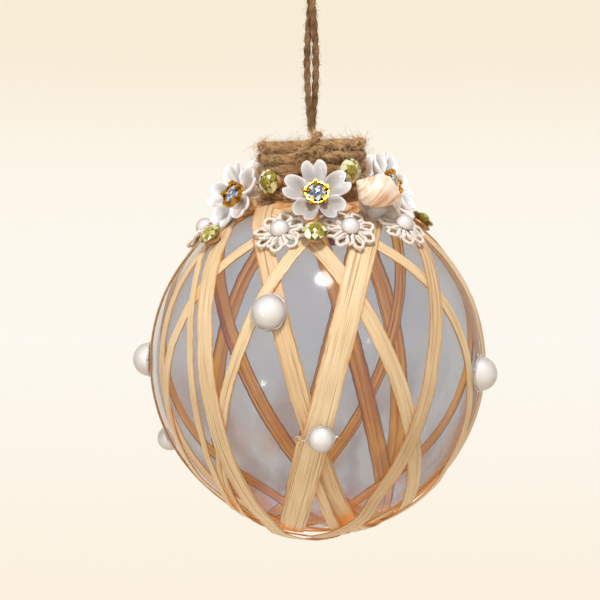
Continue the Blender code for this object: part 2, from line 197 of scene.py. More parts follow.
def makeClearPlastic():
    material = newMaterial("clearPlastic", {
        "Roughness": 0.14, "Specular IOR Level": 0.3, "IOR": 1.4, "Coat Weight": 0.45, "Coat Roughness": 0.06})
    place = objectPlace(material)
    height = objectHeight(place)
    # painted light: the plastic is tinted bluer towards the bottom, where much of it is seen at a slant
    tone = addTones(addRange(height, -0.134, -0.119),
                    (0.0, 150, 138, 236), (0.5, 104, 108, 178), (1.0, 54, 66, 112))
    # painted reflection: warm blurs low down, standing in for the strips behind as the wall bends them
    paintedStripBlurs = addNoise(place, 85.0, stretch=(1.0, 1.0, 0.4), detail=3.0, roughness=0.5, shift=5.0)
    paintedStripBlur = times(addMask(paintedStripBlurs, 0.44, 0.60), addRange(height, -0.092, -0.116))
    tone = addMix(times(paintedStripBlur, 0.85), tone, (196, 128, 62))
    # towards the ball's rim: thicker to look through, and painted shade that turns it browner
    limb = addRange(turnedAway(material), 0.55, 1.0)
    plug(material, addMix(limb, tone, (128, 100, 76)), "Base Color")
    clouds = addNoise(place, 38.0, stretch=(1.0, 1.0, 0.5))
    haze = addRange(clouds, 0.3, 0.7, 0.155, 0.235)
    extra = plus(times(limb, 0.22), times(paintedStripBlur, 0.20))
    plug(material, plus(haze, extra), "Alpha")
    ripple = addNoise(place, 190.0, stretch=(1.0, 1.0, 0.35), detail=3.0)
    addBump(material, ripple, 0.0002, 0.35)
    return material


def makePalm():
    material = newMaterial("palmStrip", {
        "Roughness": 0.48, "Specular IOR Level": 0.4, "Sheen Weight": 0.08, "Emission Strength": 1.25})
    along = uvPlace(material)
    grain = addNoise(along, 1.0, stretch=(4200.0, 70.0, 1.0), detail=5.0, roughness=0.6)
    tone = addTones(grain, (0.26, 182, 142, 92), (0.44, 222, 194, 150), (0.70, 240, 222, 186))
    lines = addNoise(along, 1.0, stretch=(1900.0, 22.0, 1.0), detail=2.0, roughness=0.5, shift=7.0)
    lineMask = addMask(lines, 0.59, 0.65)
    tone = addMix(times(lineMask, 0.58), tone, (152, 98, 46))
    # browner along the strip's edges, unevenly
    edge = addMath("ABSOLUTE", attributeValue(material, "acrossShare"))
    edgeNoise = addNoise(along, 1.0, stretch=(900.0, 260.0, 1.0), detail=3.0, roughness=0.6, shift=3.0)
    brownerEdges = addRange(plus(edge, times(edgeNoise, 0.30)), 0.98, 1.14)
    tone = addMix(times(brownerEdges, 0.62), tone, (176, 112, 52))
    patches = addNoise(objectPlace(material), 70.0, detail=3.0)
    tone = addMix(times(patches, 0.45), tone, (220, 186, 140), "MULTIPLY")
    # each strip is a little darker or paler than the next
    tone = addMix(attributeValue(material, "tone"), tone, (206, 164, 116), "MULTIPLY")
    under = attributeValue(material, "underside")
    # painted shade: the inner side, which faces the ball, turns a darker orange-brown
    tone = addMix(times(under, 0.8), tone, (188, 138, 82))
    plug(material, tone, "Base Color")
    # painted glow: the strip's inner side emits light, standing in for the light behind shining through it, less
    # towards its edges and at a slant
    streaks = addMix(addMask(lines, 0.35, 0.65), (255, 190, 78), (176, 100, 16))
    middle = addMath("SUBTRACT", 1.0, addMath("POWER", edge, 8.0))
    seenFlat = addRange(turnedAway(material), 0.5, 0.9, 1.0, 0.1)
    lit = times(under, times(middle, seenFlat))
    plug(material, addMix(lit, black, streaks), "Emission Color")
    addBump(material, plus(grain, times(lineMask, -0.5)), 0.00012, 0.8)
    return material


def makeJute(name, dark, middle, pale):
    material = newMaterial(name, {
        "Roughness": 0.9, "Specular IOR Level": 0.2, "Sheen Weight": 0.12, "Sheen Roughness": 0.5})
    fibres = addNoise(uvPlace(material), 1.0, stretch=(34.0, 1.3, 1.0), detail=5.0, roughness=0.65)
    tone = addTones(fibres, (0.30, *dark), (0.50, *middle), (0.72, *pale))
    patches = addNoise(objectPlace(material), 420.0)
    plug(material, addMix(addMask(patches, 0.35, 0.75), tone, dark), "Base Color")
    addBump(material, fibres, 0.0006, 1.0)
    return material


def makePearl():
    material = newMaterial("pearlFinish", {
        "Roughness": 0.36, "Specular IOR Level": 1.0, "Coat Weight": 1.0, "Coat Roughness": 0.17,
        "Subsurface Weight": 0.12, "Subsurface Scale": 0.002, "Sheen Weight": 0.2})
    # painted shade and sheen: lightest where the pearl faces the eye, darker towards its outline and paler again
    # at the very rim
    tone = addTones(turnedAway(material, 0.45),
                    (0.0, 234, 231, 228), (0.25, 214, 209, 206), (0.70, 154, 147, 143), (1.0, 208, 206, 210))
    clouds = addNoise(objectPlace(material), 260.0, detail=3.0)
    tone = addMix(times(clouds, 0.25), tone, (236, 218, 206), "MULTIPLY")
    plug(material, tone, "Base Color")
    addBump(material, clouds, 0.00004, 0.5)
    return material


def makePetalPlastic():
    material = newMaterial("petalPlastic", {
        "Roughness": 0.18, "Specular IOR Level": 0.8, "Coat Weight": 1.0, "Coat Roughness": 0.05, "Alpha": 0.84,
        "Subsurface Weight": 0.2, "Subsurface Scale": 0.002, "Emission Strength": 1.0})
    # painted shade and sheen: brightest where the petal faces the eye, a little darker at a slant and paler again
    # at the outline
    tone = addTones(turnedAway(material, 0.4),
                    (0.0, 253, 252, 249), (0.6, 236, 237, 240), (1.0, 248, 249, 252))
    # painted shade inside the beaded rim, and a painted highlight on the rim, which catches the light
    rim = attributeValue(material, "rimShare")
    inside = addMath("SUBTRACT", 1.0, addMath("POWER", rim, 5.0))
    tone = addMix(inside, tone, (190, 185, 182), "MULTIPLY")
    # painted highlight: the rim glows faintly through emission, though it is no lamp
    glint = addMix(addMath("POWER", rim, 12.0), black, (0.30, 0.30, 0.32, 1.0))
    plug(material, glint, "Emission Color")
    # warmer towards the cup
    heart = addRange(attributeValue(material, "outShare"), 0.62, 0.28)
    tone = addMix(times(heart, 0.4), tone, (236, 214, 184))
    clouds = addNoise(objectPlace(material), 380.0)
    tone = addMix(times(clouds, 0.22), tone, (214, 208, 206), "MULTIPLY")
    plug(material, tone, "Base Color")
    addBump(material, clouds, 0.00012, 0.6)
    return material


def makeGold():
    material = newMaterial("goldPlate", {"Metallic": 1.0, "Specular IOR Level": 0.6})
    wear = addNoise(objectPlace(material), 900.0)
    tone = addTones(wear, (0.30, 150, 92, 14), (0.52, 214, 154, 38), (0.75, 250, 212, 112))
    plug(material, tone, "Base Color")
    plug(material, addRange(wear, 0.0, 1.0, 0.12, 0.34), "Roughness")
    addBump(material, wear, 0.00006, 0.6)
    return material


def makeCutStone(name, metallic, *stops):
    # painted reflections: each facet carries its own tone, standing in for the light and dark that the stone's
    # back facets mirror
    material = newMaterial(name, {
        "Roughness": 0.05, "Metallic": metallic, "IOR": 1.6, "Coat Weight": 0.8, "Coat Roughness": 0.02})
    tone = addTones(attributeValue(material, "facetReflection"), *stops)
    streaks = addNoise(objectPlace(material), 1500.0, detail=3.0)
    tone = addMix(times(streaks, 0.35), tone, stops[1][1:], "SOFT_LIGHT")
    plug(material, tone, "Base Color")
    return material


def makeCotton():
    material = newMaterial("crochetCotton", {
        "Roughness": 0.85, "Specular IOR Level": 0.25, "Sheen Weight": 0.4,
        "Subsurface Weight": 0.15, "Subsurface Scale": 0.001})
    place = objectPlace(material)
    fibres = addNoise(place, 5200.0, detail=3.0)
    soil = addNoise(place, 500.0, detail=3.0)
    tone = addTones(fibres, (0.3, 208, 184, 162), (0.6, 246, 236, 226))
    plug(material, addMix(addMask(soil, 0.50, 0.75, 0.6), tone, (226, 188, 152)), "Base Color")
    addBump(material, fibres, 0.0001, 0.6)
    return material


def makeShellFinish():
    material = newMaterial("shellFinish", {
        "Roughness": 0.32, "Specular IOR Level": 0.5, "Coat Weight": 0.3, "Coat Roughness": 0.15,
        "Subsurface Weight": 0.1, "Subsurface Scale": 0.002})
    along = uvPlace(material)
    ribs = addNoise(along, 1.0, stretch=(26.0, 1.2, 1.0), detail=3.0, roughness=0.6)
    bands = addNoise(along, 1.0, stretch=(5.0, 7.0, 1.0), roughness=0.6, shift=11.0)
    tone = addTones(plus(times(ribs, 0.65), times(bands, 0.35)),
                    (0.36, 216, 146, 96), (0.46, 234, 192, 154), (0.56, 246, 230, 214))
    tone = addMix(attributeValue(material, "callus"), tone, (240, 238, 238))
    tone = addMix(attributeValue(material, "inside"), tone, (238, 224, 208))
    plug(material, tone, "Base Color")
    addBump(material, ribs, 0.0003, 0.5)
    return material


def makeGlue(name, dark, pale, alpha):
    material = newMaterial(name, {
        "Roughness": 0.18, "Alpha": alpha, "Coat Weight": 0.5, "Coat Roughness": 0.08,
        "Subsurface Weight": 0.3, "Subsurface Scale": 0.002})
    place = objectPlace(material)
    plug(material, addTones(addNoise(place, 330.0), (0.35, *dark), (0.65, *pale)), "Base Color")
    addBump(material, addNoise(place, 900.0, detail=3.0), 0.0003, 0.5)
    return material


def makeCapPlastic():
    material = newMaterial("capPlastic", {
        "Roughness": 0.35, "Subsurface Weight": 0.2, "Subsurface Scale": 0.002, "Coat Weight": 0.2})
    clouds = addNoise(objectPlace(material), 500.0)
    plug(material, addTones(clouds, (0.35, 188, 184, 182), (0.65, 226, 224, 222)), "Base Color")
    addBump(material, clouds, 0.0003, 0.6)
    return material


clearPlastic = makeClearPlastic()
palm = makePalm()
jute = makeJute("juteTwine", (128, 80, 38), (212, 164, 106), (248, 216, 166))
hangingJute = makeJute("hangingJute", (108, 72, 40), (170, 126, 80), (216, 176, 126))
hangingFibre = makeJute("hangingFibre", (124, 86, 48), (176, 132, 84), (220, 182, 134))
looseJute = makeJute("looseJuteFibre", (206, 160, 104), (244, 210, 160), (255, 242, 214))
pearl = makePearl()
petalPlastic = makePetalPlastic()
gold = makeGold()
yellowStone = makeCutStone("oliveStone", 0.30,
                           (0.0, 66, 54, 10), (0.35, 140, 124, 22), (0.65, 192, 174, 54), (1.0, 238, 238, 198))
clearStone = makeCutStone("clearStone", 0.4,
                          (0.0, 16, 30, 66), (0.3, 76, 92, 116), (0.65, 150, 166, 184), (1.0, 240, 245, 250))
cotton = makeCotton()
shellFinish = makeShellFinish()
amberGlue = makeGlue("amberGlue", (176, 108, 44), (224, 186, 136), 0.92)
clearGlue = makeGlue("clearGlue", (208, 200, 196), (236, 232, 230), 0.55)
capPlastic = makeCapPlastic()
print("materials made")


# A shape holds points, faces, the uv of each face corner and the values of each vertex

def newShape(points, faces, corners=None, values=None):
    return {"points": np.asarray(points, float), "faces": faces, "corners": corners, "values": values or {}}


def placed(shape, matrix):
    turn = np.array(matrix.to_3x3())
    return {**shape, "points": shape["points"] @ turn.T + np.array(matrix.translation)}


def joined(shapes):
    points, faces, corners, values, start = [], [], [], {}, 0
    labels = {label for shape in shapes for label in shape["values"]}
    for shape in shapes:
        count = len(shape["points"])
        points.append(shape["points"])
        faces += [tuple(i + start for i in face) for face in shape["faces"]]
        if shape["corners"] is not None:
            corners += list(shape["corners"])
        for label in labels:
            values.setdefault(label, []).append(np.broadcast_to(shape["values"].get(label, 0.0), (count,)))
        start += count
    values = {label: np.concatenate(parts) for label, parts in values.items()}
    return newShape(np.concatenate(points), faces, corners or None, values)


def meshFrom(name, shape, material, weld=False):
    mesh = bpy.data.meshes.new(name)
    mesh.from_pydata(shape["points"].tolist(), [], shape["faces"])
    if shape["corners"] is not None:
        layer = mesh.uv_layers.new(name="UVMap")
        layer.data.foreach_set("uv", np.asarray(shape["corners"], np.float32).ravel())
    for label, value in shape["values"].items():
        attribute = mesh.attributes.new(label, "FLOAT", "POINT")
        attribute.data.foreach_set("value", np.broadcast_to(value, (len(mesh.vertices),)).astype(np.float32))
    if weld:
        work = bmesh.new()
        work.from_mesh(mesh)
        bmesh.ops.remove_doubles(work, verts=work.verts, dist=0.000002)
        work.to_mesh(mesh)
        work.free()
    mesh.materials.append(material)
    mesh.shade_smooth()
    mesh.validate()
    return mesh


def outwardNormals(mesh, angle=None, others=()):
    # takes in the other meshes, turns all faces outwards and keeps edges sharper than the angle
    work = bmesh.new()
    for source in (mesh, *others):
        work.from_mesh(source)
    bmesh.ops.recalc_face_normals(work, faces=work.faces)
    work.to_mesh(mesh)
    work.free()
    if angle:
        mesh.set_sharp_from_angle(angle=math.radians(angle))
    return mesh


def titled(name):
    first, *rest = name.split("_")
    return first + "".join(word.title() for word in rest)


def addPiece(name, mesh, nodes, onBall=True):
    # the mesh comes in the ball's own frame, its neck straight up
    if onBall:
        mesh.transform(ballStand)
    piece = bpy.data.objects.new(name, mesh)
    bpy.context.scene.collection.objects.link(piece)
    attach(piece, "root")
    if nodes:
        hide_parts(*nodes)
    return piece


def dress(node, mesh, stand=None):
    # a node's own piece, moved from the origin to its stand on the ball
    if stand:
        mesh.transform(stand)
    addPiece(titled(node), mesh, [node])


def gridFaces(rows, columns, wrap):
    # quads of a grid, its normal from the columns' way crossed with the rows' way
    faces, corners = [], []
    for i in range(rows - 1):
        for j in range(columns if wrap else columns - 1):
            k = (j + 1) % columns
            faces.append((i * columns + j, i * columns + k, (i + 1) * columns + k, (i + 1) * columns + j))
            corners += [(j, i), (j + 1, i), (j + 1, i + 1), (j, i + 1)]
    return faces, np.array(corners, float)


def endFaces(rows, columns):
    # close a wrapped grid at its first and last row
    return [tuple(reversed(range(columns))), tuple(range((rows - 1) * columns, rows * columns))]


def frameAlong(path):
    ahead = np.gradient(path, axis=0)
    ahead /= np.linalg.norm(ahead, axis=1)[:, None]
    side = np.zeros_like(path)
    start = np.cross(ahead[0], (0.0, 0.0, 1.0))
    if np.linalg.norm(start) < 0.1:
        start = np.cross(ahead[0], (0.0, 1.0, 0.0))
    side[0] = start / np.linalg.norm(start)
    for i in range(1, len(path)):
        step = side[i - 1] - ahead[i] * (side[i - 1] @ ahead[i])
        side[i] = step / np.linalg.norm(step)
    return side, np.cross(ahead, side)


def lengthAlong(path):
    return np.concatenate([[0.0], np.cumsum(np.linalg.norm(np.diff(path, axis=0), axis=1))])


def tubeShape(path, radii, sides, lobes=0, lobeDepth=0.0, twist=0.0):
    # a round tube with closed ends; lobes turn round it as its fibres do
    side, up = frameAlong(path)
    along = lengthAlong(path)
    angle = np.linspace(0.0, math.tau, sides, endpoint=False)
    radius = radii[:, None] * (1.0 + lobeDepth * np.cos(lobes * angle[None, :] - twist * along[:, None]))
    ring = np.cos(angle)[None, :, None] * side[:, None, :] + np.sin(angle)[None, :, None] * up[:, None, :]
    points = (path[:, None, :] + radius[..., None] * ring).reshape(-1, 3)
    faces, corners = gridFaces(len(path), sides, True)
    corners[:, 0] /= sides
    corners[:, 1] = along[corners[:, 1].astype(int)] / (radii.mean() * 2)
    corners[:, 0] -= corners[:, 1] * 0.35
    corners = np.concatenate([corners, np.zeros((2 * sides, 2))])
    return newShape(points, faces + endFaces(len(path), sides), corners)


def smoothNoise(places, scale, seed):
    return np.array([noise.noise(Vector(p) * scale + Vector((seed, seed * 0.37, -seed))) for p in places])


# shares of a ply's size, and the scales of the noise that changes them
plyLook = {"size": {2: 0.66, 3: 0.62}, "swell": 0.14, "swellScale": 450.0, "uneven": 0.10, "unevenScale": 800.0,
           "sides": 12, "lobes": 5, "lobeDepth": 0.09, "fibreTurns": 1.1}


def pliedTwine(path, diameter, plies, turnLength, seed):
    # plies laid round the path; each swells and shrinks, and its fibres turn the other way
    side, up = frameAlong(path)
    along = lengthAlong(path)
    swell = 1.0 + plyLook["swell"] * smoothNoise(path, plyLook["swellScale"], seed)
    plyRadius = diameter / 2 * plyLook["size"][plies]
    offset = (diameter / 2 - plyRadius) * swell
    shapes = []
    for ply in range(plies):
        angle = math.tau * (along / turnLength + ply / plies)
        course = path + offset[:, None] * (np.cos(angle)[:, None] * side + np.sin(angle)[:, None] * up)
        uneven = smoothNoise(course, plyLook["unevenScale"], seed + 5 + ply)
        radii = plyRadius * (1.0 + plyLook["uneven"] * uneven)
        shapes.append(tubeShape(course, radii, plyLook["sides"], plyLook["lobes"], plyLook["lobeDepth"],
                                -math.tau * plyLook["fibreTurns"] / turnLength))
    return joined(shapes)


# Geometry Nodes

def newTree(name, inputs):
    tree = bpy.data.node_groups.new(name, "GeometryNodeTree")
    tree.interface.new_socket("Geometry", in_out="INPUT", socket_type="NodeSocketGeometry")
    tree.interface.new_socket("Geometry", in_out="OUTPUT", socket_type="NodeSocketGeometry")
    for label, kind in inputs:
        tree.interface.new_socket(label, in_out="INPUT", socket_type=kind)
    return tree, tree.nodes.new("NodeGroupInput").outputs, tree.nodes.new("NodeGroupOutput").inputs


def grown(name, mesh, tree, values):
    # runs the tree on a mesh and gives back a plain mesh
    holder = bpy.data.objects.new(name, mesh)
    bpy.context.scene.collection.objects.link(holder)
    modifier = holder.modifiers.new("Grow", "NODES")
    modifier.node_group = tree
    for label, value in values.items():
        modifier[tree.interface.items_tree[label].identifier] = value
    bpy.context.view_layer.update()
    graph = bpy.context.evaluated_depsgraph_get()
    result = bpy.data.meshes.new_from_object(holder.evaluated_get(graph), depsgraph=graph)
    result.name = name
    holder.modifiers.remove(modifier)
    bpy.data.objects.remove(holder)
    return result


def finishedGeometry(geometry, material):
    tree = geometry.id_data
    real = addNode(tree, "GeometryNodeRealizeInstances", {"Geometry": geometry})
    sockets = {"Geometry": real["Geometry"], "Material": material}
    return addNode(tree, "GeometryNodeSetMaterial", sockets)["Geometry"]


def copiesRound(shape, count, tilt=0.0):
    # copies of a shape round the Z axis
    tree = shape.id_data
    spots = addNode(tree, "GeometryNodePoints", {"Count": count, "Position": (0.0, 0.0, 0.0), "Radius": 0.001})
    share = addMath("DIVIDE", addNode(tree, "GeometryNodeInputIndex", {})["Index"], count)
    turn = addNode(tree, "ShaderNodeCombineXYZ", {"X": tilt, "Z": times(share, math.tau)})
    copies = addNode(tree, "GeometryNodeInstanceOnPoints", {
        "Points": spots[0], "Instance": shape, "Rotation": turn["Vector"]})
    return addNode(tree, "GeometryNodeRealizeInstances", {"Geometry": copies["Instances"]})["Geometry"]


def makeFuzzTree(name, kinds):
    # loose fibres that lie all over a twine; a kind is its share, how stretched, how slim and a seed shift
    tree, given, out = newTree(name, [
        ("Density", "NodeSocketFloat"), ("Length", "NodeSocketFloat"), ("Thickness", "NodeSocketFloat"),
        ("Seed", "NodeSocketInt"), ("Fibre", "NodeSocketMaterial")])
    both = tree.nodes.new("GeometryNodeJoinGeometry")
    for share, stretch, slimness, seedShift in kinds:
        seed = plus(given["Seed"], seedShift)
        spots = addNode(tree, "GeometryNodeDistributePointsOnFaces", {
            "Mesh": given["Geometry"], "Density": times(given["Density"], share), "Seed": seed})
        bend = addNode(tree, "GeometryNodeCurveQuadraticBezier", {
            "Resolution": 3, "Start": (0.0, 0.0, -0.05), "Middle": (0.5, 0.0, 0.26 / stretch),
            "End": (1.0, 0.25, 0.10)})
        section = addNode(tree, "GeometryNodeCurvePrimitiveCircle", {
            "Resolution": 3, "Radius": times(given["Thickness"], slimness)})
        fibre = addNode(tree, "GeometryNodeCurveToMesh", {
            "Curve": bend["Curve"], "Profile Curve": section["Curve"], "Fill Caps": True})
        turn = addNode(tree, "FunctionNodeRandomValue", {
            "Min": (-0.25, -0.25, 0.0), "Max": (0.25, 0.25, math.tau), "Seed": seed}, data_type="FLOAT_VECTOR")
        spin = addNode(tree, "FunctionNodeRotateRotation", {
            "Rotation": spots["Rotation"], "Rotate By": turn["Value"]}, rotation_space="LOCAL")
        size = addNode(tree, "FunctionNodeRandomValue", {
            2: 0.35 * stretch, 3: stretch, "Seed": seed}, data_type="FLOAT")
        hairs = addNode(tree, "GeometryNodeInstanceOnPoints", {
            "Points": spots["Points"], "Instance": fibre["Mesh"], "Rotation": spin["Rotation"],
            "Scale": times(size[1], given["Length"])})
        tree.links.new(finishedGeometry(hairs["Instances"], given["Fibre"]), both.inputs["Geometry"])
    tree.links.new(given["Geometry"], both.inputs["Geometry"])
    tree.links.new(both.outputs["Geometry"], out["Geometry"])
    return tree


def makeRingTree():
    # copies a shape round the Z axis, each copy a little different in tilt
    tree, given, out = newTree("copiesRound", [
        ("Count", "NodeSocketInt"), ("Tilt", "NodeSocketFloat"), ("Seed", "NodeSocketInt"),
        ("Finish", "NodeSocketMaterial")])
    less = times(given["Tilt"], -1.0)
    tilt = addNode(tree, "FunctionNodeRandomValue", {
        2: less, 3: given["Tilt"], "Seed": given["Seed"]}, data_type="FLOAT")
    copies = copiesRound(given["Geometry"], given["Count"], tilt[1])
    tree.links.new(finishedGeometry(copies, given["Finish"]), out["Geometry"])
    return tree


def makeCrochetTree():
    # open loops of thread round a middle, twisted, and lying on the ball
    tree, given, out = newTree("crochetLoops", [
        ("Loops", "NodeSocketInt"), ("Thread Radius", "NodeSocketFloat"), ("Twist", "NodeSocketFloat"),
        ("Ball Radius", "NodeSocketFloat"), ("Looseness", "NodeSocketFloat"), ("Seed", "NodeSocketFloat"),
        ("Cotton", "NodeSocketMaterial")])
    curve = addNode(tree, "GeometryNodeMeshToCurve", {"Mesh": given["Geometry"]})
    even = addNode(tree, "GeometryNodeResampleCurve", {"Curve": curve["Curve"], "Count": 34})
    loops = copiesRound(even["Curve"], given["Loops"])
    # the loops follow the ball's curve, and wander a little
    position = addNode(tree, "GeometryNodeInputPosition", {})["Position"]
    reach = addNode(tree, "ShaderNodeVectorMath", {0: position, 1: position}, operation="DOT_PRODUCT")
    double = times(given["Ball Radius"], -2.0)
    fall = addNode(tree, "ShaderNodeCombineXYZ", {"Z": addMath("DIVIDE", reach["Value"], double)})
    wander = addNode(tree, "ShaderNodeTexNoise", {
        "Vector": position, "W": given["Seed"], "Scale": 420.0, "Detail": 1.0}, noise_dimensions="4D")
    centred = addNode(tree, "ShaderNodeVectorMath", {0: wander["Color"], 1: (-0.5, -0.5, -0.5)}, operation="ADD")
    shaken = addNode(tree, "ShaderNodeVectorMath", {
        0: centred["Vector"], "Scale": given["Looseness"]}, operation="SCALE")
    move = addNode(tree, "ShaderNodeVectorMath", {0: fall["Vector"], 1: shaken["Vector"]}, operation="ADD")
    laid = addNode(tree, "GeometryNodeSetPosition", {"Geometry": loops, "Offset": move["Vector"]})
    # a three-sided section, turned along the way, looks like twisted thread
    parameter = addNode(tree, "GeometryNodeSplineParameter", {})
    twisted = addNode(tree, "GeometryNodeSetCurveTilt", {
        "Curve": laid["Geometry"], "Tilt": times(parameter["Length"], given["Twist"])})
    section = addNode(tree, "GeometryNodeCurveStar", {
        "Points": 3, "Inner Radius": times(given["Thread Radius"], 0.55),
        "Outer Radius": given["Thread Radius"]})
    thread = addNode(tree, "GeometryNodeCurveToMesh", {
        "Curve": twisted["Curve"], "Profile Curve": section["Curve"], "Fill Caps": True})
    soft = addNode(tree, "GeometryNodeSetShadeSmooth", {"Geometry": thread["Mesh"]})
    tree.links.new(finishedGeometry(soft["Geometry"], given["Cotton"]), out["Geometry"])
    return tree


shortFuzzTree = makeFuzzTree("shortFibres", [(1.0, 1.0, 1.0, 0.0)])
longFuzzTree = makeFuzzTree("shortAndLongFibres", [(1.0, 1.0, 1.0, 0.0), (0.16, 2.1, 0.45, 17.0)])
ringTree = makeRingTree()
crochetTree = makeCrochetTree()
print("geometry trees made")


# Places on the ball

def compass(turn):
    angle = math.radians(turn)
    return Vector((math.sin(angle), -math.cos(angle), 0.0))


def ballDirection(turn, height):
    angle = math.radians(height)
    return compass(turn) * math.cos(angle) + Vector((0.0, 0.0, math.sin(angle)))


def downTheBall(turn, distance):
    angle = math.asin(windingReach / ball["radius"]) + distance / ball["radius"]
    return compass(turn) * math.sin(angle) + Vector((0.0, 0.0, math.cos(angle)))


def byTheNeck(turn, out, above):
    return compass(turn) * (windingReach + out) + Vector((0.0, 0.0, shoulderHeight + above))


def facingMatrix(place, outward, spin=0.0):
    side = Vector((0.0, 0.0, 1.0)).cross(outward).normalized()
    up = outward.cross(side)
    turn = Matrix((side, up, outward)).transposed().to_4x4()
    return Matrix.Translation(place) @ turn @ Matrix.Rotation(math.radians(spin), 4, "Z")


# Hanging twine: up one leg, round the eye and down the other, as in the CAD part
hangingTwine = {"step": 0.00035, "plies": 2, "turnLength": 0.0060, "density": 2.2e6, "fibre": 0.0016,
                "thickness": 0.022, "legPoints": 12, "eyePoints": 10, "pathEvery": 6}


def hangingPath():
    twineRadius = loop["diameter"] / 2
    legBottom = -loop["length"] + ball["gap"] + twineRadius
    legTop = twineRadius - loop["eyeHeight"]
    swing = loop["spread"] / 2
    legs = {-1: [], 1: []}
    for side, leg in legs.items():
        for i in range(hangingTwine["legPoints"]):
            share = i / (hangingTwine["legPoints"] - 1)
            turn = math.pi * (0.5 - share)
            height = legBottom + (legTop - legBottom) * share
            leg.append((side * swing * math.cos(turn), side * swing * math.sin(turn), height))
    eye = []
    for i in range(1, hangingTwine["eyePoints"]):
        angle = math.tau * i / hangingTwine["eyePoints"]
        height = legTop + loop["eyeHeight"] * (1.0 - math.cos(angle)) / 2
        eye.append((loop["eyeWidth"] / 2 * math.sin(angle), swing * math.cos(angle / 2), height))
    return np.array(legs[-1] + eye + legs[1][::-1])


def roundedPath(points, spacing, finer=12):
    # a smooth curve through the points, at even steps
    knots = np.arange(len(points))
    fine = np.linspace(0, len(points) - 1, (len(points) - 1) * finer + 1)
    slopes = np.gradient(points, axis=0)
    low = np.clip(fine.astype(int), 0, len(points) - 2)
    t = (fine - knots[low])[:, None]
    curve = ((2 * t ** 3 - 3 * t ** 2 + 1) * points[low] + (t ** 3 - 2 * t ** 2 + t) * slopes[low]
             + (3 * t ** 2 - 2 * t ** 3) * points[low + 1] + (t ** 3 - t ** 2) * slopes[low + 1])
    along = lengthAlong(curve)
    steps = max(2, int(along[-1] / spacing))
    even = np.linspace(0.0, along[-1], steps + 1)
    return np.stack([np.interp(even, along, curve[:, k]) for k in range(3)], axis=1)


def fuzzyTwine(name, shape, finish, tree, look, seed, fibreFinish):
    return grown(name, meshFrom(name + "Core", shape, finish), tree, {
        "Density": look["density"], "Length": look["fibre"], "Thickness": look["thickness"],
        "Seed": seed, "Fibre": fibreFinish})


hangingCourse = roundedPath(hangingPath(), hangingTwine["step"])
twineShape = pliedTwine(hangingCourse, loop["diameter"], hangingTwine["plies"], hangingTwine["turnLength"], 3.0)
twineMesh = fuzzyTwine("hangingTwine", twineShape, hangingJute, shortFuzzTree, hangingTwine, 4, hangingFibre)
hanging = addPiece("hangingTwine", twineMesh, ["hanging_loop"], onBall=False)


# Clear ball: one moulded shell, open at the neck
def turnedShape(outline, segments, closed=False):
    # turns points of (radius, height) about Z, from the top down the outside
    outline = np.array(outline)
    angle = np.linspace(0.0, math.tau, segments, endpoint=False)
    if closed:
        outline = np.concatenate([outline, outline[:1]])
    reach = outline[:, :1]
    heights = np.repeat(outline[:, 1:], segments, axis=1)
    points = np.stack([reach * np.cos(angle), reach * np.sin(angle), heights], axis=2).reshape(-1, 3)
    faces, corners = gridFaces(len(outline), segments, True)
    corners = corners.reshape(-1, 4, 2)[:, ::-1].reshape(-1, 2) / segments
    return newShape(points, [face[::-1] for face in faces], corners)


def arcPoints(radius, start, stop, steps):
    return [(radius * abs(math.sin(a)), radius * math.cos(a)) for a in np.linspace(start, stop, steps + 1)]


def makeBall():
    lip, radius, neckRadius = ball["lip"], ball["radius"], ball["neckRadius"]
    bore = neckRadius - ball["wall"]
    inner = radius - ball["wall"]
    outline = [(neckRadius - lip, neckTop), (neckRadius, neckTop - lip)]
    outline += arcPoints(radius, math.asin(neckRadius / radius), math.pi, 72)
    outline += arcPoints(inner, math.pi, math.asin(bore / inner), 64)
    outline += [(bore, neckTop - lip), (bore + lip, neckTop)]
    mesh = meshFrom("clearBall", turnedShape(outline, 144, True), clearPlastic, weld=True)
    mesh.set_sharp_from_angle(angle=math.radians(35))
    dress("clear_ball", mesh)


def makeCap():
    neckRadius, thickness = ball["neckRadius"], cap["thickness"]
    plugRadius = neckRadius - ball["wall"] - ball["gap"]
    rim = neckTop + ball["gap"]
    outline = [(0.0, crownHeight)]
    outline += [(neckRadius * share, crownHeight - thickness * cap["dome"] * share ** 2)
                for share in (0.2, 0.4, 0.6, 0.75, 0.88)]
    outline += [(neckRadius * 0.97, crownHeight - thickness * 0.3), (neckRadius, rim + thickness * 0.35)]
    bottom = rim - cap["plugDepth"]
    outline += [(neckRadius, rim), (plugRadius, rim), (plugRadius, bottom), (0.0, bottom)]
    shape = turnedShape(outline, 64)
    # the crown is lumpy, as if heated
    crown = shape["points"][:, 2] > rim + 0.0001
    lumps = smoothNoise(shape["points"][crown], cap["lumpScale"], 8.0)
    shape["points"][crown, 2] += cap["lumps"] * (lumps - 0.25)
    dress("neck_cap", meshFrom("neckCap", shape, capPlastic, weld=True))


makeBall()
makeCap()
print("ball and cap made")


# Twine round the neck: level turns in front that step down at the back, fuzzy and uneven
windingLook = {"step": 0.00058, "plies": 3, "turnLength": 0.0150, "density": 1.02e6, "fibre": 0.0026,
               "thickness": 0.017, "sag": 0.0005, "bulge": 0.0004, "pointsPerTurn": 60, "pointEvery": 3,
               "level": 0.72, "slant": 0.28, "squeeze": 0.97}
# the hitch over the top turn, where the hanging twine is tied: diameter, seed, and the way round,
# distance out and height of each point
ties = [
    (0.0019, 31.0, ((-20, 0.0000, -0.0046), (-13, 0.0016, -0.0036), (-6, 0.0021, -0.0021), (1, 0.0019, -0.0009),
                    (6, 0.0010, 0.0002), (9, -0.0012, 0.0006), (4, -0.0050, 0.0005))),
    (0.0017, 35.0, ((14, 0.0004, -0.0044), (8, 0.0016, -0.0034), (0, 0.0020, -0.0029), (-8, 0.0018, -0.0031),
                    (-15, 0.0006, -0.0040))),
]
tieTurnLength = 0.0060


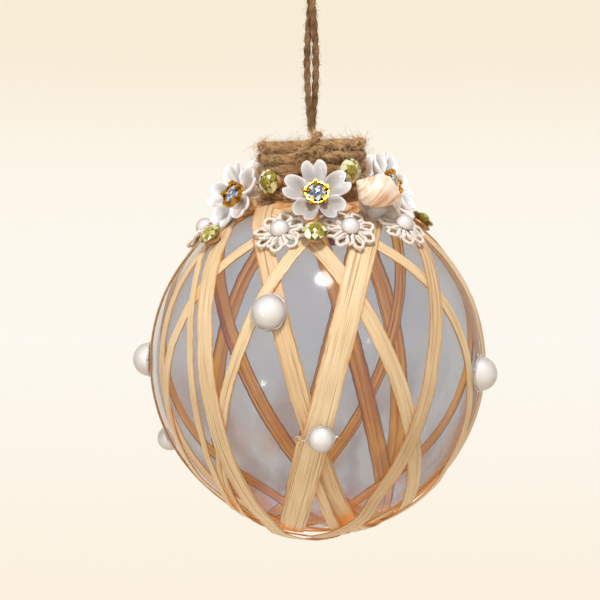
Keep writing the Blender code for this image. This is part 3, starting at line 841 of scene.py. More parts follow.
def windingPath():
    radius = ball["neckRadius"] + ball["gap"] + winding["diameter"] / 2
    top = crownHeight - winding["standOut"] - winding["diameter"] / 2
    clearOfBall = ball["radius"] + ball["gap"] + winding["diameter"] / 2
    points = []
    turns = 0.0
    while True:
        ring = math.floor(turns)
        step = max(0.0, (turns - ring - windingLook["level"]) / windingLook["slant"])
        drop = winding["pitch"] * (ring + step * step * (3 - 2 * step)) * windingLook["squeeze"]
        way = compass(180.0 - 360.0 * turns)
        spot = way * radius
        wobble = noise.noise(Vector((way.x * 1.7, way.y * 1.7, turns * 2.3)))
        out = noise.noise(Vector((way.x * 2.1 + 9.0, way.y * 2.1, turns * 3.1)))
        height = top - drop + windingLook["sag"] * wobble
        reach = 1.0 + max(0.0, out) * windingLook["bulge"] / radius
        if height < math.sqrt(clearOfBall ** 2 - radius ** 2):
            break
        points.append((spot.x * reach, spot.y * reach, min(height, top)))
        turns += 1 / windingLook["pointsPerTurn"]
    return np.array(points)


def makeWinding():
    course = roundedPath(windingPath()[::windingLook["pointEvery"]], windingLook["step"])
    pieces = [pliedTwine(course, winding["diameter"], windingLook["plies"], windingLook["turnLength"], 12.0)]
    for diameter, seed, places in ties:
        points = []
        for turn, out, up in places:
            way = compass(turn) * (windingReach - winding["diameter"] / 2 + out)
            points.append((way.x, way.y, crownHeight + up))
        course = roundedPath(np.array(points), windingLook["step"])
        pieces.append(pliedTwine(course, diameter, 2, tieTurnLength, seed))
    mesh = fuzzyTwine("neckTwine", joined(pieces), jute, longFuzzTree, windingLook, 9, looseJute)
    dress("neck_twine", mesh)


makeWinding()
print("neck twine made")


# Strips: turn and lean of the plane's normal, shift on the near and the far side in ball radii, width,
# and the stretch covered in degrees from the neck through the bottom. Each lies over those before it.
strips = {
    "strip_left_limb": (-80, 6, 0.250, -0.100, 0.0034, 0, 360),
    "strip_left_outer": (-80, -13, 0.320, -0.225, 0.0031, 0, 360),
    "strip_limb": (87, -3, -0.190, -0.025, 0.0050, 0, 360),
    "strip_right_inner": (27, 21, -0.025, -0.050, 0.0040, 0, 360),
    "strip_right_outer": (82, 14, -0.365, 0.223, 0.0033, 0, 360),
    "strip_middle_left": (-5, 14, -0.050, 0.133, 0.0046, 0, 360),
    "strip_left_inner": (-33, -20, 0.045, -0.110, 0.0030, 0, 360),
    "strip_narrow_middle": (-3, 15, -0.155, 0.000, 0.0026, 108, 166),
    "strip_narrow_bottom": (-3, -15, 0.035, 0.000, 0.0021, 112, 166),
    "strip_front": (-1, -16, 0.083, 0.085, 0.0062, 0, 360),
    "strip_right": (32, -15, 0.133, -0.078, 0.0041, 0, 360),
    "strip_left": (-27, 7, -0.215, 0.030, 0.0047, 0, 360),
    "strip_narrow_left": (-21, 4, -0.420, 0.000, 0.0021, 35, 150),
}
stripLook = {"thickness": 0.00024, "gap": 0.00013, "neckAngle": 21.5, "ramp": 0.0035, "margin": 0.0009,
             "stepsRound": 48, "partsPerStep": 5, "columns": 9, "wobble": 0.00016, "curl": 0.00016,
             "ridge": 0.00005, "ridges": 2.5, "edgeThickness": 0.62, "sharpAngle": 50, "wanderShare": 0.4,
             "uvAcross": 0.013, "uvAlong": 0.4, "tone": 0.12, "toneChange": 0.12}


def stripRoute(strip, steps):
    turn, leanBack, nearShift, farShift, _, start, stop = strip
    turn, leanBack = math.radians(turn), math.radians(leanBack)
    level = math.cos(leanBack)
    normal = np.array((math.cos(turn) * level, math.sin(turn) * level, math.sin(leanBack)))
    top = np.array((0.0, 0.0, 1.0)) - normal * normal[2]
    top /= np.linalg.norm(top)
    near = np.cross(top, normal)
    if near[1] - abs(near[0]) * math.copysign(0.5, turn * near[0]) > 0:
        near = -near
    angles = np.radians(np.linspace(start, stop, steps + 1))
    ahead = np.sin(angles)
    # the shift goes over smoothly from the far side's to the near side's
    share = np.clip(0.5 + ahead * 0.9, 0.0, 1.0)
    share = share * share * (3.0 - 2.0 * share)
    shift = farShift + (nearShift - farShift) * share
    circle = np.cos(angles)[:, None] * top + ahead[:, None] * near
    along = circle * np.sqrt(1.0 - shift ** 2)[:, None] + shift[:, None] * normal
    along = along[along[:, 2] < math.cos(math.radians(stripLook["neckAngle"]))]
    across = np.cross(np.gradient(along, axis=0), along)
    return along, across / np.linalg.norm(across, axis=1)[:, None]


def topOfStrips(laid, spots, margin):
    highest = np.full(len(spots), ball["gap"] - stripLook["gap"])
    for along, _, heights, width in laid.values():
        apart = np.linalg.norm(spots[:, None, :] - along[None, :, :], axis=2) * ball["radius"]
        tops = np.where(apart < width / 2 + margin, heights[None, :] + stripLook["thickness"], 0.0)
        highest = np.maximum(highest, tops.max(axis=1))
    return highest


def layStrips():
    laid = {}
    for name, strip in strips.items():
        width, start, stop = strip[4:]
        steps = round(stripLook["stepsRound"] * (stop - start) / 360) * stripLook["partsPerStep"]
        along, across = stripRoute(strip, steps)
        spacing = ball["radius"] * np.linalg.norm(along[1] - along[0])
        heights = np.full(len(along), ball["gap"])
        for share in np.linspace(-0.5, 0.5, 5):
            spots = along + across * ((width + stripLook["margin"]) * share / ball["radius"])
            heights = np.maximum(heights, topOfStrips(laid, spots, stripLook["margin"]) + stripLook["gap"])
        stations = np.arange(len(along)) * spacing
        distance = np.abs(stations[:, None] - stations[None, :])
        slope = np.clip((distance - spacing * (stripLook["partsPerStep"] + 1)) / stripLook["ramp"], 0.0, 1.0)
        # each crossing lifts the strip along a ramp on both sides of it
        ramp = 0.5 + 0.5 * np.cos(np.pi * slope)
        heights = ball["gap"] + np.max((heights - ball["gap"])[None, :] * ramp, axis=1)
        count = np.arange(len(along))
        heights = np.interp(count, count[::stripLook["partsPerStep"]], heights[::stripLook["partsPerStep"]])
        laid[name] = (along, across, heights, width)
    return laid


def restingHeight(laid, direction, footprint):
    return ball["radius"] + float(topOfStrips(laid, np.array([direction]), footprint)[0]) + ball["gap"]


def makeStrip(name, laid, number):
    along, across, heights, width = laid[name]
    columns = stripLook["columns"]
    count = len(along)
    travel = np.arange(count) * ball["radius"] * np.linalg.norm(along[1] - along[0])
    wander = smoothNoise(along * 3.0, 2.2, number * 7.1) * stripLook["wobble"]
    leftEdge = smoothNoise(along * 40.0, 0.9, number * 3.3) * stripLook["wobble"]
    rightEdge = smoothNoise(along * 40.0, 0.9, number * 5.9) * stripLook["wobble"]
    low = ball["radius"] + heights
    tops, undersides = [], []
    for share in np.linspace(-0.5, 0.5, columns):
        edge = leftEdge if share < 0 else rightEdge
        reach = share * width + wander * stripLook["wanderShare"] + edge * abs(share) * 2
        direction = along + across * (reach / ball["radius"])[:, None]
        direction /= np.linalg.norm(direction, axis=1)[:, None]
        ridge = stripLook["ridge"] * math.cos(share * math.tau * stripLook["ridges"] + number)
        lifted = np.clip(smoothNoise(along * 10.0, 1.3, number * 2.7 + share), 0.0, 1.0)
        curl = stripLook["curl"] * (abs(share) * 2) ** 6 * lifted
        full = stripLook["edgeThickness"] if abs(share) > 0.49 else 1.0
        high = low + stripLook["thickness"] * full + ridge + curl
        tops.append(direction * high[:, None])
        undersides.append(direction * low[:, None])
    # a closed band: over the top from one edge to the other, and back underneath
    points = np.stack(tops + undersides[::-1], axis=1).reshape(-1, 3)
    ring = 2 * columns
    faces, corners = gridFaces(count, ring, True)
    faces += endFaces(count, ring)
    column = np.concatenate([np.linspace(-0.5, 0.5, columns), np.linspace(0.5, -0.5, columns), [-0.5]]) * width
    uv = np.stack([column[corners[:, 0].astype(int)] + number * stripLook["uvAcross"],
                   travel[corners[:, 1].astype(int)] + number * stripLook["uvAlong"]], axis=1)
    uv = np.concatenate([uv, np.zeros((2 * ring, 2))])
    shares = np.linspace(-1.0, 1.0, columns)
    values = {
        "acrossShare": np.tile(np.concatenate([shares, shares[::-1]]), count),
        "underside": np.tile(np.repeat([0.0, 1.0], columns), count),
        "tone": stripLook["tone"] + stripLook["toneChange"] * math.sin(number * 2.4),
    }
    mesh = meshFrom(titled(name), newShape(points, faces, uv, values), palm)
    dress(name, outwardNormals(mesh, stripLook["sharpAngle"]))


laidStrips = layStrips()
for stripNumber, stripName in enumerate(strips):
    makeStrip(stripName, laidStrips, stripNumber + 1)
print("strips made:", len(strips))


# Flowers: five notched petals, a gold cup with claws, and a clear stone. Each has its way round, distance out
# from the winding, height above the shoulder, the way its face looks and rises, and its spin.
flowers = {
    "flower_front": (2, 0.0074, 0.0025, 3, 30, 4),
    "flower_left": (-61, 0.0077, 0.0026, -50, 24, 20),
    "flower_right": (73, 0.0057, 0.0042, 70, 26, 40),
    "flower_back_right": (142, 0.0070, 0.0031, 142, 30, 10),
    "flower_back_left": (-142, 0.0070, 0.0029, -142, 30, 55),
}
petal = {"reach": 0.0084, "count": 5, "thickness": 0.00075, "cup": 0.0022, "root": 0.0006, "halfAngle": 35.0,
         "rows": 20, "columns": 21, "tilt": 0.09, "spoon": 0.0014, "rounding": 0.50, "notch": 0.17,
         "notchWidth": 0.15, "bead": 0.00038, "beadWidth": 0.08, "rootWidth": 0.56, "flare": 0.6, "level": 0.25}
cup = {"radius": 0.0030, "height": 0.0020, "stoneRadius": 0.0023, "stoneDepth": 0.0016, "sunk": 0.66, "seat": 0.45,
       "claws": 5, "lip": 0.0001, "flutes": 12, "fluteDepth": 0.045}
claw = {"halfWidth": 0.00046, "taper": 0.12, "halfThickness": 0.00026, "foot": 0.0002}


def petalShape():
    rows, columns = petal["rows"], petal["columns"]
    skins, outShares, rimShares = [], [], []
    for isTop in (True, False):
        for i in range(rows):
            share = i / (rows - 1)
            for j in range(columns):
                across = 2.0 * j / (columns - 1) - 1.0
                rimShare = max(abs(across), share)
                notch = petal["notch"] * math.exp(-(across / petal["notchWidth"]) ** 2)
                rim = petal["reach"] * (1.0 - petal["rounding"] * abs(across) ** 3.4 - notch)
                radius = petal["root"] + (rim - petal["root"]) * share
                angle = math.radians(petal["halfAngle"]) * across
                angle *= min(1.0, petal["rootWidth"] + petal["flare"] * share)
                reached = radius / petal["reach"]
                spoon = (across ** 2 * share + share ** 3 * 0.6) * petal["spoon"]
                height = petal["cup"] * (reached ** 2 - petal["level"]) + spoon - petal["spoon"] * 0.25 * share
                if isTop:
                    height += petal["bead"] * math.exp(-((1.0 - rimShare) / petal["beadWidth"]) ** 2)
                else:
                    height -= petal["thickness"] * (0.35 + 0.65 * (1.0 - rimShare ** 6))
                skins.append((radius * math.sin(angle), radius * math.cos(angle), height))
                outShares.append(reached)
                rimShares.append(rimShare)
    size = rows * columns
    grid = gridFaces(rows, columns, False)[0]
    faces = [face[::-1] for face in grid] + [tuple(i + size for i in face) for face in grid]
    # the wall between the two skins, all round the petal
    rimPath = [i * columns for i in range(rows)] + [size - columns + j for j in range(1, columns)]
    rimPath += [i * columns + columns - 1 for i in range(rows - 2, -1, -1)] + list(range(columns - 2, 0, -1))
    faces += [(a, b, b + size, a + size) for a, b in zip(rimPath, rimPath[1:] + rimPath[:1])]
    return newShape(skins, faces, None, {"outShare": np.array(outShares), "rimShare": np.array(rimShares)})


# reach and height of each ring of a cut stone as shares, its corners, and its shift round
stoneRings = [(0.26, 0.975, 8, 0.5), (0.52, 0.91, 8, 0.0), (0.78, 0.80, 8, 0.5), (1.0, 0.62, 16, 0.0),
              (1.0, 0.54, 16, 0.0), (0.52, 0.27, 8, 0.5)]

def brilliantShape(radius, depth, seed, dullTable):
    # a round cut stone standing on its point, each facet with its own tone of painted reflection
    points, starts = [(0.0, 0.0, depth)], []
    for reach, height, count, shift in stoneRings:
        starts.append(len(points))
        for k in range(count):
            angle = math.tau * (k + shift) / count
            points.append((radius * reach * math.sin(angle), radius * reach * math.cos(angle), depth * height))
    points.append((0.0, 0.0, 0.0))
    heart, table, star, girdle, under, low = starts
    last = len(points) - 1
    random = np.random.default_rng(seed)
    faces, tones = [], []
    for k in range(8):
        n = (k + 1) % 8
        b = (k - 1) % 8
        flat = random.uniform(0.30, 0.62) if dullTable else random.choice([0.0, 0.3, 0.85, 1.0])
        faces += [(0, heart + k, heart + n), (table + k, heart + b, heart + k), (table + k, heart + k, table + n)]
        tones += [flat, random.uniform(0.15, 0.6), random.uniform(0.4, 0.75)]
        faces += [(table + k, table + n, star + k), (table + k, star + k, girdle + 2 * k, star + b)]
        tones += [random.choice([0.2, 0.6, 1.0]), random.choice([0.45, 0.8, 1.0])]
        first, second, third = girdle + 2 * k, girdle + 2 * k + 1, girdle + (2 * k + 2) % 16
        faces += [(star + k, first, second), (star + k, second, third)]
        tones += [random.choice([0.05, 0.3, 0.9]), random.choice([0.1, 0.5, 1.0])]
        for g in (2 * k, 2 * k + 1):
            h = (g + 1) % 16
            faces.append((girdle + g, under + g, under + h, girdle + h))
            tones.append(random.uniform(0.1, 0.5))
        first, second, third = under + 2 * k, under + 2 * k + 1, under + (2 * k + 2) % 16
        faces += [(first, low + k, second), (second, low + k, third), (first, low + b, low + k)]
        tones += [random.uniform(0.0, 0.5), random.uniform(0.0, 0.5), random.uniform(0.0, 0.4)]
        faces.append((low + k, low + b, last))
        tones.append(random.uniform(0.0, 0.4))
    return {**newShape(points, faces), "tones": tones}


def stoneMesh(name, shape, material):
    mesh = bpy.data.meshes.new(name)
    mesh.from_pydata(shape["points"].tolist(), [], shape["faces"])
    attribute = mesh.attributes.new("facetReflection", "FLOAT", "FACE")
    attribute.data.foreach_set("value", np.array(shape["tones"], np.float32))
    mesh.materials.append(material)
    return outwardNormals(mesh)


def clawMesh():
    # one claw: up the cup's side and bent in over the stone
    course = [(cup["radius"] * 0.70, claw["foot"])]
    course += [(cup["radius"] * out, cup["height"] * up) for out, up in ((0.98, 0.45), (1.04, 0.95), (0.94, 1.24))]
    course += [(cup["stoneRadius"] * out, cup["height"] * up) for out, up in ((0.96, 1.28), (0.72, 1.14))]
    points = []
    for i, (radius, height) in enumerate(course):
        wide = claw["halfWidth"] * (1.25 - claw["taper"] * i)
        deep = claw["halfThickness"]
        for side, inOrOut in ((-1, -1), (1, -1), (1, 1), (-1, 1)):
            points.append((side * wide, radius + inOrOut * deep, height + inOrOut * deep * 0.4))
    faces = gridFaces(len(course), 4, True)[0] + endFaces(len(course), 4)
    return outwardNormals(meshFrom("claw", newShape(points, faces), gold), 60)


def cupShape():
    radius, height = cup["radius"], cup["height"]
    floor = height - cup["stoneDepth"] * cup["sunk"]
    hollow = cup["stoneRadius"] + ball["gap"] * 0.6
    outline = [(0.0, floor * 0.4), (hollow * 0.6, floor * 0.7), (hollow, floor), (hollow, height * 0.94)]
    outline += [(hollow + cup["lip"], height)]
    outline += [(radius * out, height * up) for out, up in (
        (0.94, 1.0), (0.96, 0.8), (0.90, 0.55), (0.93, 0.40), (0.70, 0.15), (0.45, 0.0), (0.0, 0.0))]
    shape = turnedShape(outline, 48)
    x, y = shape["points"][:, 0], shape["points"][:, 1]
    outside = np.hypot(x, y) > hollow * 1.05
    flute = 1.0 + cup["fluteDepth"] * np.cos(cup["flutes"] * np.arctan2(y, x)) * outside
    shape["points"][:, :2] *= flute[:, None]
    return shape


def makeFlower(name, number):
    turn, out, above, faceTurn, faceRise, spin = flowers[name]
    stand = facingMatrix(byTheNeck(turn, out, above), ballDirection(faceTurn, faceRise), spin)
    petals = grown(titled(name) + "Petals", onePetal.copy(), ringTree, {
        "Count": petal["count"], "Tilt": petal["tilt"], "Seed": number, "Finish": petalPlastic})
    dress(name + "_petals", petals, stand)
    # the cup stands on the petals' hollow
    floor = petal["cup"] * (cup["seat"] ** 2 - petal["level"]) + ball["gap"]
    claws = grown("claws", oneClaw.copy(), ringTree, {
        "Count": cup["claws"], "Tilt": 0.0, "Seed": 0, "Finish": gold})
    setting = meshFrom(titled(name) + "Setting", cupShape(), gold, weld=True)
    setting = outwardNormals(setting, others=[claws])
    setting.shade_smooth()
    setting.set_sharp_from_angle(angle=math.radians(45))
    dress(name + "_setting", setting, stand @ Matrix.Translation((0.0, 0.0, floor)))
    recess = cup["height"] - cup["stoneDepth"] * cup["sunk"]
    cut = brilliantShape(cup["stoneRadius"], cup["stoneDepth"], 40 + number, False)
    stone = stoneMesh(titled(name) + "Rhinestone", cut, clearStone)
    inCup = Matrix.Translation((0.0, 0.0, floor + recess * 0.4 + ball["gap"]))
    dress(name + "_rhinestone", stone, stand @ inCup)


onePetal = outwardNormals(meshFrom("onePetal", petalShape(), petalPlastic), 60)
oneClaw = clawMesh()
for flowerNumber, flowerName in enumerate(flowers):
    makeFlower(flowerName, flowerNumber)
print("flowers made:", len(flowers))


# Yellow stones on the ball (way round, distance down from the winding) and on the winding (way round, drop)
ballStones = {
    "yellow_stone_front": (0, 0.0158),
    "yellow_stone_left": (-58, 0.0163),
    "yellow_stone_back": (170, 0.0198),
    "yellow_stone_back_right": (108, 0.0149),
}
windingStones = {
    "yellow_stone_winding_left": (-42, 0.0088),
    "yellow_stone_winding_right": (34, 0.0068),
    "yellow_stone_winding_back": (170, 0.0076),
}
yellow = {"radius": 0.0030, "depth": 0.0034}
stoneStands = {}
for stoneName, (turn, distance) in ballStones.items():
    way = downTheBall(turn, distance)
    stoneStands[stoneName] = facingMatrix(way * restingHeight(laidStrips, way, ball["gap"]), way)
for stoneName, (turn, drop) in windingStones.items():
    way = compass(turn)
    spot = way * (windingReach + 3 * ball["gap"]) + Vector((0.0, 0.0, neckTop - drop))
    stoneStands[stoneName] = facingMatrix(spot, way)
for stoneNumber, (stoneName, stand) in enumerate(stoneStands.items()):
    cut = brilliantShape(yellow["radius"], yellow["depth"], 70 + stoneNumber, True)
    stone = stoneMesh(titled(stoneName), cut, yellowStone)
    dress(stoneName, stone, stand @ Matrix.Rotation(stoneNumber * 0.7, 4, "Z"))
print("yellow stones made:", len(stoneStands))


# Crochet daisies with a pearl each (way round, distance down from the winding), and loose half pearls
# (way round, height on the ball in degrees, radius)
daisies = {
    "lace_daisy_left": (-17.5, 0.0141),
    "lace_daisy_middle": (18, 0.0141),
    "lace_daisy_right": (51, 0.0142),
    "lace_daisy_back": (-106, 0.0149),
}
crochet = {"reach": 0.0067, "plate": 0.0008, "pearl": 0.0023, "loops": 8, "thread": 0.00054, "twist": 4600.0,
           "looseness": 0.0011, "loopWidth": 0.00142, "loopStart": 0.0020, "loopHeight": 0.00045, "wave": 0.0002,
           "innerStart": 0.0012, "innerReach": 0.0050, "innerWidth": 0.0009, "innerDrop": 0.0002, "spin": 9.0}
loosePearls = {
    "pearl_front": (-16.5, 21, 0.0041),
    "pearl_low": (0, -20, 0.0030),
    "pearl_right": (69, -4, 0.0041),
    "pearl_left": (-95, 2, 0.0041),
    "pearl_left_low": (-96, -26, 0.0030),
    "pearl_back": (-162, 12.6, 0.0041),
    "pearl_back_low": (180, -30.6, 0.0030),
}


def threadLoop(start, end, halfWidth, count=26):
    # a teardrop of edges: narrow at the middle of the daisy, round at its rim
    points = []
    for i in range(count):
        angle = math.tau * i / count
        share = 0.5 - 0.5 * math.cos(angle)
        across = halfWidth * math.sin(angle) * (0.45 + 0.75 * share)
        height = crochet["loopHeight"] + crochet["wave"] * math.sin(angle * 2)
        points.append((across, start + (end - start) * share, height))
    mesh = bpy.data.meshes.new("threadLoop")
    mesh.from_pydata(points, [(i, (i + 1) % count) for i in range(count)], [])
    return mesh


def halfPearlMesh(name, radius, foot=0.00012):
    outline = arcPoints(radius, 0.0, math.pi / 2, 14) + [(radius * 0.97, -foot), (0.0, -foot)]
    mesh = meshFrom(name, turnedShape(outline, 48), pearl, weld=True)
    mesh.set_sharp_from_angle(angle=math.radians(50))
    return mesh


def makeDaisy(name, turn, distance, number):
    way = downTheBall(turn, distance)
    stand = facingMatrix(way * restingHeight(laidStrips, way, crochet["reach"]), way, number * crochet["spin"])
    values = {"Loops": crochet["loops"], "Thread Radius": crochet["thread"], "Twist": crochet["twist"],
              "Ball Radius": ball["radius"], "Looseness": crochet["looseness"], "Seed": float(number),
              "Cotton": cotton}
    outerLoop = threadLoop(crochet["loopStart"], crochet["reach"] - crochet["thread"], crochet["loopWidth"])
    innerLoop = threadLoop(crochet["innerStart"], crochet["innerReach"], crochet["innerWidth"])
    outer = grown("outerLoops", outerLoop, crochetTree, values)
    inner = grown("innerLoops", innerLoop, crochetTree, {**values, "Seed": number + 0.5})
    between = Matrix.Rotation(math.pi / crochet["loops"], 4, "Z")
    inner.transform(Matrix.Translation((0.0, 0.0, -crochet["innerDrop"])) @ between)
    work = bmesh.new()
    work.from_mesh(outer)
    work.from_mesh(inner)
    work.to_mesh(outer)
    work.free()
    outer.shade_smooth()
    dress(name, outer, stand)
    bead = halfPearlMesh(titled(name) + "Pearl", crochet["pearl"])
    onPlate = Matrix.Translation((0.0, 0.0, crochet["plate"] + ball["gap"]))
    dress(name + "_pearl", bead, stand @ onPlate)


for daisyNumber, (daisyName, (turn, distance)) in enumerate(daisies.items()):
    makeDaisy(daisyName, turn, distance, daisyNumber)
pearlStands = {}
for pearlName, (turn, height, radius) in loosePearls.items():
    way = ballDirection(turn, height)
    stand = facingMatrix(way * restingHeight(laidStrips, way, radius), way)
    pearlStands[pearlName] = (stand, radius)
    dress(pearlName, halfPearlMesh(titled(pearlName), radius), stand)
print("daisies and pearls made")


# Spiral shells: whorls that grow round an axis, with an open mouth. Each has its way round, distance out from
# the winding, height above the shoulder, the way its side faces, the slope of its spire, and its spin.
shells = {
    "shell_front": (38, 0.0129, 0.0018, 14, -34, 226),
    "shell_back": (-178, 0.0128, 0.0022, -178, 25, 40),
}
shell = {"length": 0.0146, "radius": 0.0064, "whorls": 4.3, "growth": 1.85, "stepsRound": 44, "section": 30,
         "rib": 0.035, "ribs": 9, "axisShare": 0.40, "top": 0.50, "spireShare": 0.56, "halfHeight": 0.33,
         "lowerStretch": 1.32, "callusReach": 0.26}
# turns, size and share inside of the rings that fold in at the mouth
mouthRings = [(0.015, 1.05, 0.2), (0.012, 0.98, 0.6), (0.0, 0.90, 1.0), (-0.05, 0.82, 1.0), (-0.12, 0.72, 1.0),
              (-0.20, 0.50, 1.0), (-0.24, 0.08, 1.0)]


def spiralShape():
    length, count = shell["length"], shell["section"]
    steps = int(shell["whorls"] * shell["stepsRound"])
    rings = [(i / shell["stepsRound"] - shell["whorls"], 1.0, 0.0) for i in range(steps + 1)] + mouthRings
    points, insides, calluses = [], [], []
    for turns, size, inside in rings:
        scale = shell["growth"] ** turns
        angle = math.tau * turns
        middle = shell["axisShare"] * shell["radius"] * scale
        height = length * (shell["top"] - shell["spireShare"] * scale)
        nearMouth = max(0.0, 1.0 - abs(turns + 0.04) / shell["callusReach"])
        for j in range(count):
            around = math.tau * j / count
            cord = 1.0 + shell["rib"] * math.cos(around * shell["ribs"]) * (1.0 - inside)
            outward = (1.0 - shell["axisShare"]) * shell["radius"] * scale * size * cord * math.cos(around)
            up = length * shell["halfHeight"] * scale * size * cord * math.sin(around)
            if up < 0:
                up *= shell["lowerStretch"]
                outward *= 1.0 - 0.35 * min(1.0, -up / (length * 0.4 * scale))
            radius = middle + outward
            points.append((radius * math.cos(angle), radius * math.sin(angle), height + up))
            insides.append(inside)
            calluses.append(nearMouth * (1.0 if math.cos(around) < 0.5 else 0.4) * (1.0 - inside))
    faces, corners = gridFaces(len(rings), count, True)
    corners = np.stack([corners[:, 0] / count, corners[:, 1] / shell["stepsRound"]], axis=1)
    faces += endFaces(len(rings), count)
    corners = np.concatenate([corners, np.zeros((2 * count, 2))])
    return newShape(points, faces, corners, {"inside": np.array(insides), "callus": np.array(calluses)})


for shellName, (turn, out, above, squareTo, slope, spin) in shells.items():
    angle = math.radians(slope)
    upward = Vector((0.0, 0.0, 1.0))
    spire = -upward.cross(compass(squareTo)) * math.cos(angle) - upward * math.sin(angle)
    turned = spire.to_track_quat("Z", "Y").to_matrix().to_4x4() @ Matrix.Rotation(math.radians(spin), 4, "Z")
    mesh = outwardNormals(meshFrom(titled(shellName), spiralShape(), shellFinish))
    dress(shellName, mesh, Matrix.Translation(byTheNeck(turn, out, above)) @ turned)
print("shells made")


# Hot glue: a lumpy collar on the shoulder, mounds under flowers, shells and stones, and rings with thin
# tails at the loose pearls
glue = {"collarFrom": 17.5, "collarTo": 26.5, "collarWander": 4.0, "collarHeight": 0.0013, "collarLift": 0.00008,
        "moundFoot": 0.0034, "moundHead": 0.0023, "moundBite": 0.0002, "moundLumps": 0.45,
        "moundScale": 420.0, "behindFlower": 0.0012, "underShell": 0.0014,
        "ringThickness": 0.00030, "ringWidth": 1.02,
        "wispThick": 0.00026, "wispThin": 0.00009, "wispBend": 0.3}
# foot and head of a stone's mound along its axis, and the radii there
stoneMounds = {"ball": (-0.0002, 0.0016, 0.0026, 0.0022), "winding": (-0.0012, 0.0012, 0.0019, 0.0014)}
# way round the pearl and reach of each tail
wisps = {
    "pearl_low": ((168, 0.0019), (-8, 0.0011), (60, 0.0008)),
    "pearl_right": ((98, 0.0012), (150, 0.0009)),
    "pearl_left_low": ((-120, 0.0010),),
}


def glueCollar(columns=150, rows=16):
    points = []
    for i in range(2 * rows):
        top = i < rows
        share = i / (rows - 1) if top else (2 * rows - 1 - i) / (rows - 1)
        for j in range(columns):
            way = compass(360.0 * j / columns)
            sway = noise.noise(Vector((way.x * 4.0, way.y * 4.0, 2.0)))
            reach = glue["collarTo"] + glue["collarWander"] * sway
            angle = math.radians(glue["collarFrom"] + (reach - glue["collarFrom"]) * share)
            direction = way * math.sin(angle) + Vector((0.0, 0.0, math.cos(angle)))
            swell = math.sin(math.pi * min(1.0, share * 0.8 + 0.2)) ** 0.7 if share < 1.0 else 0.0
            lumps = 0.65 + 0.9 * noise.noise(direction * 11.0) + 0.35 * noise.noise(direction * 27.0)
            lift = glue["collarLift"] + (max(0.1, lumps) * glue["collarHeight"] * swell if top else 0.0)
            points.append(tuple(direction * (ball["radius"] + lift)))
    faces = gridFaces(2 * rows, columns, True)[0]
    last = (2 * rows - 1) * columns
    faces += [(last + j, last + (j + 1) % columns, (j + 1) % columns, j) for j in range(columns)]
    return newShape(points, faces)


def glueMound(foot, head, footRadius, headRadius, seed, rows=14, columns=22):
    # a tapered lump from one point to another, its surface uneven
    axis = head - foot
    along = axis.normalized()
    side = along.orthogonal().normalized()
    up = along.cross(side)
    points = [tuple(foot - along * footRadius * 0.25)]
    for i in range(1, rows):
        share = i / rows
        level = foot + axis * share
        footShare = (1.0 - share) ** 1.6
        dome = math.sin(math.pi * share) ** 0.35
        radius = (footRadius * footShare + headRadius * (1.0 - footShare)) * dome
        for j in range(columns):
            angle = math.tau * j / columns
            spot = level + (side * math.cos(angle) + up * math.sin(angle)) * radius
            uneven = glue["moundLumps"] * noise.noise(spot * glue["moundScale"] + Vector((seed, 0.0, 0.0)))
            points.append(tuple(spot + (spot - level) * uneven))
    points.append(tuple(head))
    faces = [(0, 1 + (j + 1) % columns, 1 + j) for j in range(columns)]
    faces += [tuple(i + 1 for i in face) for face in gridFaces(rows - 1, columns, True)[0]]
    last = 1 + (rows - 2) * columns
    faces += [(last + j, last + (j + 1) % columns, len(points) - 1) for j in range(columns)]
    return newShape(points, faces)


def glueTube(path, radii, stand):
    return {**placed(tubeShape(path, radii, 8), stand), "corners": None}


def glueRing(stand, radius, seed):
    # an uneven bead round the foot of a pearl
    angle = np.linspace(0.0, math.tau, 40)
    circle = np.stack([np.cos(angle), np.sin(angle), angle * 0], axis=1)
    reach = radius * glue["ringWidth"] * (1.0 + 0.10 * smoothNoise(circle, 1.6, seed))
    path = np.stack([reach * np.cos(angle), reach * np.sin(angle), np.full(len(angle), -0.00005)], axis=1)
    radii = glue["ringThickness"] * (0.75 + 0.5 * np.abs(smoothNoise(circle, 2.3, seed + 3)))
    radii[-1] = radii[0]
    return glueTube(path, radii, stand)


def glueWisp(stand, radius, way, reach, steps=8):
    outs = np.linspace(radius * 0.95, radius + reach, steps)
    bend = math.radians(way) + glue["wispBend"] * np.sin(np.linspace(0.0, 2.6, steps))
    path = np.stack([outs * np.cos(bend), outs * np.sin(bend), 0.0002 - outs ** 2 / (2 * ball["radius"])], axis=1)
    return glueTube(path, np.linspace(glue["wispThick"], glue["wispThin"], steps), stand)


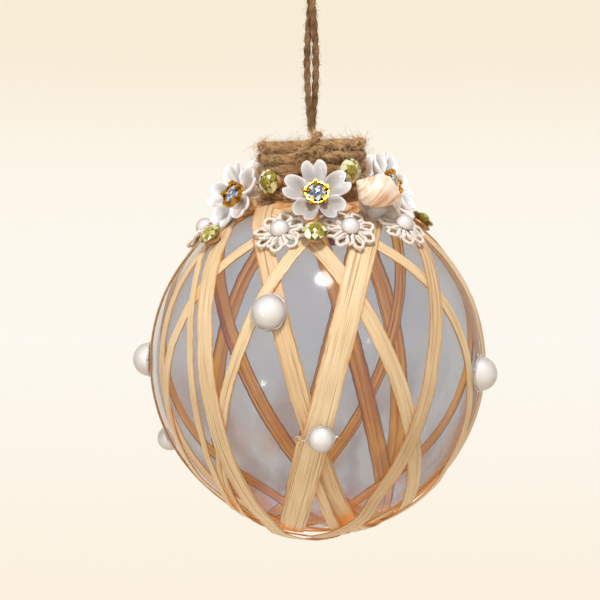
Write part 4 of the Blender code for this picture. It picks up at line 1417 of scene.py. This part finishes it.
def layGlue():
    onBall = ball["radius"] + glue["moundBite"]
    foot, head = glue["moundFoot"], glue["moundHead"]
    amber, clear = [glueCollar()], []
    for number, (turn, out, above, faceTurn, faceRise, _) in enumerate(flowers.values()):
        back = byTheNeck(turn, out, above) - ballDirection(faceTurn, faceRise) * glue["behindFlower"]
        amber.append(glueMound(back.normalized() * onBall, back, foot, head, number * 3.0))
    for number, setting in enumerate(shells.values()):
        middle = byTheNeck(*setting[:3])
        way = middle.normalized()
        top = middle - way * glue["underShell"]
        clear.append(glueMound(way * onBall, top, foot * 0.5, head * 0.9, 20.0 + number * 3.0))
    for place, names, seed in (("ball", ballStones, 40.0), ("winding", windingStones, 50.0)):
        low, high, footRadius, headRadius = stoneMounds[place]
        for number, name in enumerate(names):
            mound = glueMound(Vector((0, 0, low)), Vector((0, 0, high)), footRadius, headRadius, seed + number)
            amber.append(placed(mound, stoneStands[name]))
    clear += [glueRing(stand, radius, number * 2.0) for number, (stand, radius) in enumerate(pearlStands.values())]
    for pearlName, tails in wisps.items():
        stand, radius = pearlStands[pearlName]
        clear += [glueWisp(stand, radius, way, reach) for way, reach in tails]
    for name, shapes, finish in (("amberGlue", amber, amberGlue), ("clearGlue", clear, clearGlue)):
        addPiece(name, outwardNormals(meshFrom(name, joined(shapes), finish)), [])


layGlue()
print("glue made")


# Floor and backdrop in one sweep, soft lights and a pale surrounding
studio = {"floorDepth": 0.30, "front": -1.6, "back": 1.1, "height": 1.6, "width": 3.0, "bend": 0.35,
          "bendSteps": 12, "worldColour": (0.97, 0.98, 1.0, 1.0), "worldStrength": 0.52}
lamps = {     # way round, height, distance, size, power and colour
    "keyLamp": (8, 62, 0.9, 0.18, 6.5, (1.0, 1.0, 1.0)),
    "sideLamp": (-38, -10, 0.9, 0.05, 0.5, (1.0, 1.0, 1.0)),
    "fillLamp": (-50, 22, 1.2, 0.9, 3.0, (0.96, 0.98, 1.0)),
}


def makeStudio():
    bend, flatEnd = studio["bend"], studio["back"] - studio["bend"]
    rows = [(studio["front"], 0.0), (flatEnd, 0.0)]
    rows += [(flatEnd + bend * math.sin(a), bend * (1.0 - math.cos(a)))
             for a in np.linspace(0.1, math.pi / 2, studio["bendSteps"])]
    rows.append((studio["back"], studio["height"]))
    points = [(x, y, z - studio["floorDepth"]) for y, z in rows for x in (-studio["width"], studio["width"])]
    faces = [(2 * i, 2 * i + 1, 2 * i + 3, 2 * i + 2) for i in range(len(rows) - 1)]
    material = newMaterial("paleBackdrop", {
        "Roughness": 0.9, "Specular IOR Level": 0.1, "Base Color": (0.01, 0.01, 0.01, 1.0),
        "Emission Strength": 0.985})
    place = objectPlace(material)
    paper = addNoise(place, 6.0, detail=3.0)
    height = objectHeight(place)
    level = addRange(plus(height, times(paper, 0.02)), -0.30, 0.0)
    plug(material, addTones(level, (0.0, 252, 239, 220), (0.45, 253, 249, 240), (0.75, 253, 247, 234),
                            (1.0, 249, 236, 215)), "Emission Color")
    sweep = bpy.data.objects.new("backdrop", meshFrom("backdrop", newShape(points, faces), material))
    bpy.context.scene.collection.objects.link(sweep)


def addLamp(name, turn, height, distance, size, power, colour):
    data = bpy.data.lights.new(name, "AREA")
    data.shape = "DISK"
    data.size = size
    data.energy = power
    data.color = colour
    lamp = bpy.data.objects.new(name, data)
    way = ballDirection(turn, height)
    lamp.location = ballCentre + way * distance
    lamp.rotation_euler = way.to_track_quat("Z", "Y").to_euler()
    bpy.context.scene.collection.objects.link(lamp)


makeStudio()
for lampName, setup in lamps.items():
    addLamp(lampName, *setup)
world = bpy.data.worlds.new("paleRoom")
world.use_nodes = True
background = world.node_tree.nodes["Background"].inputs
background["Color"].default_value = studio["worldColour"]
background["Strength"].default_value = studio["worldStrength"]
bpy.context.scene.world = world
bpy.context.scene.view_settings.view_transform = "Standard"     # plain colours, as the photograph has
print("studio made")
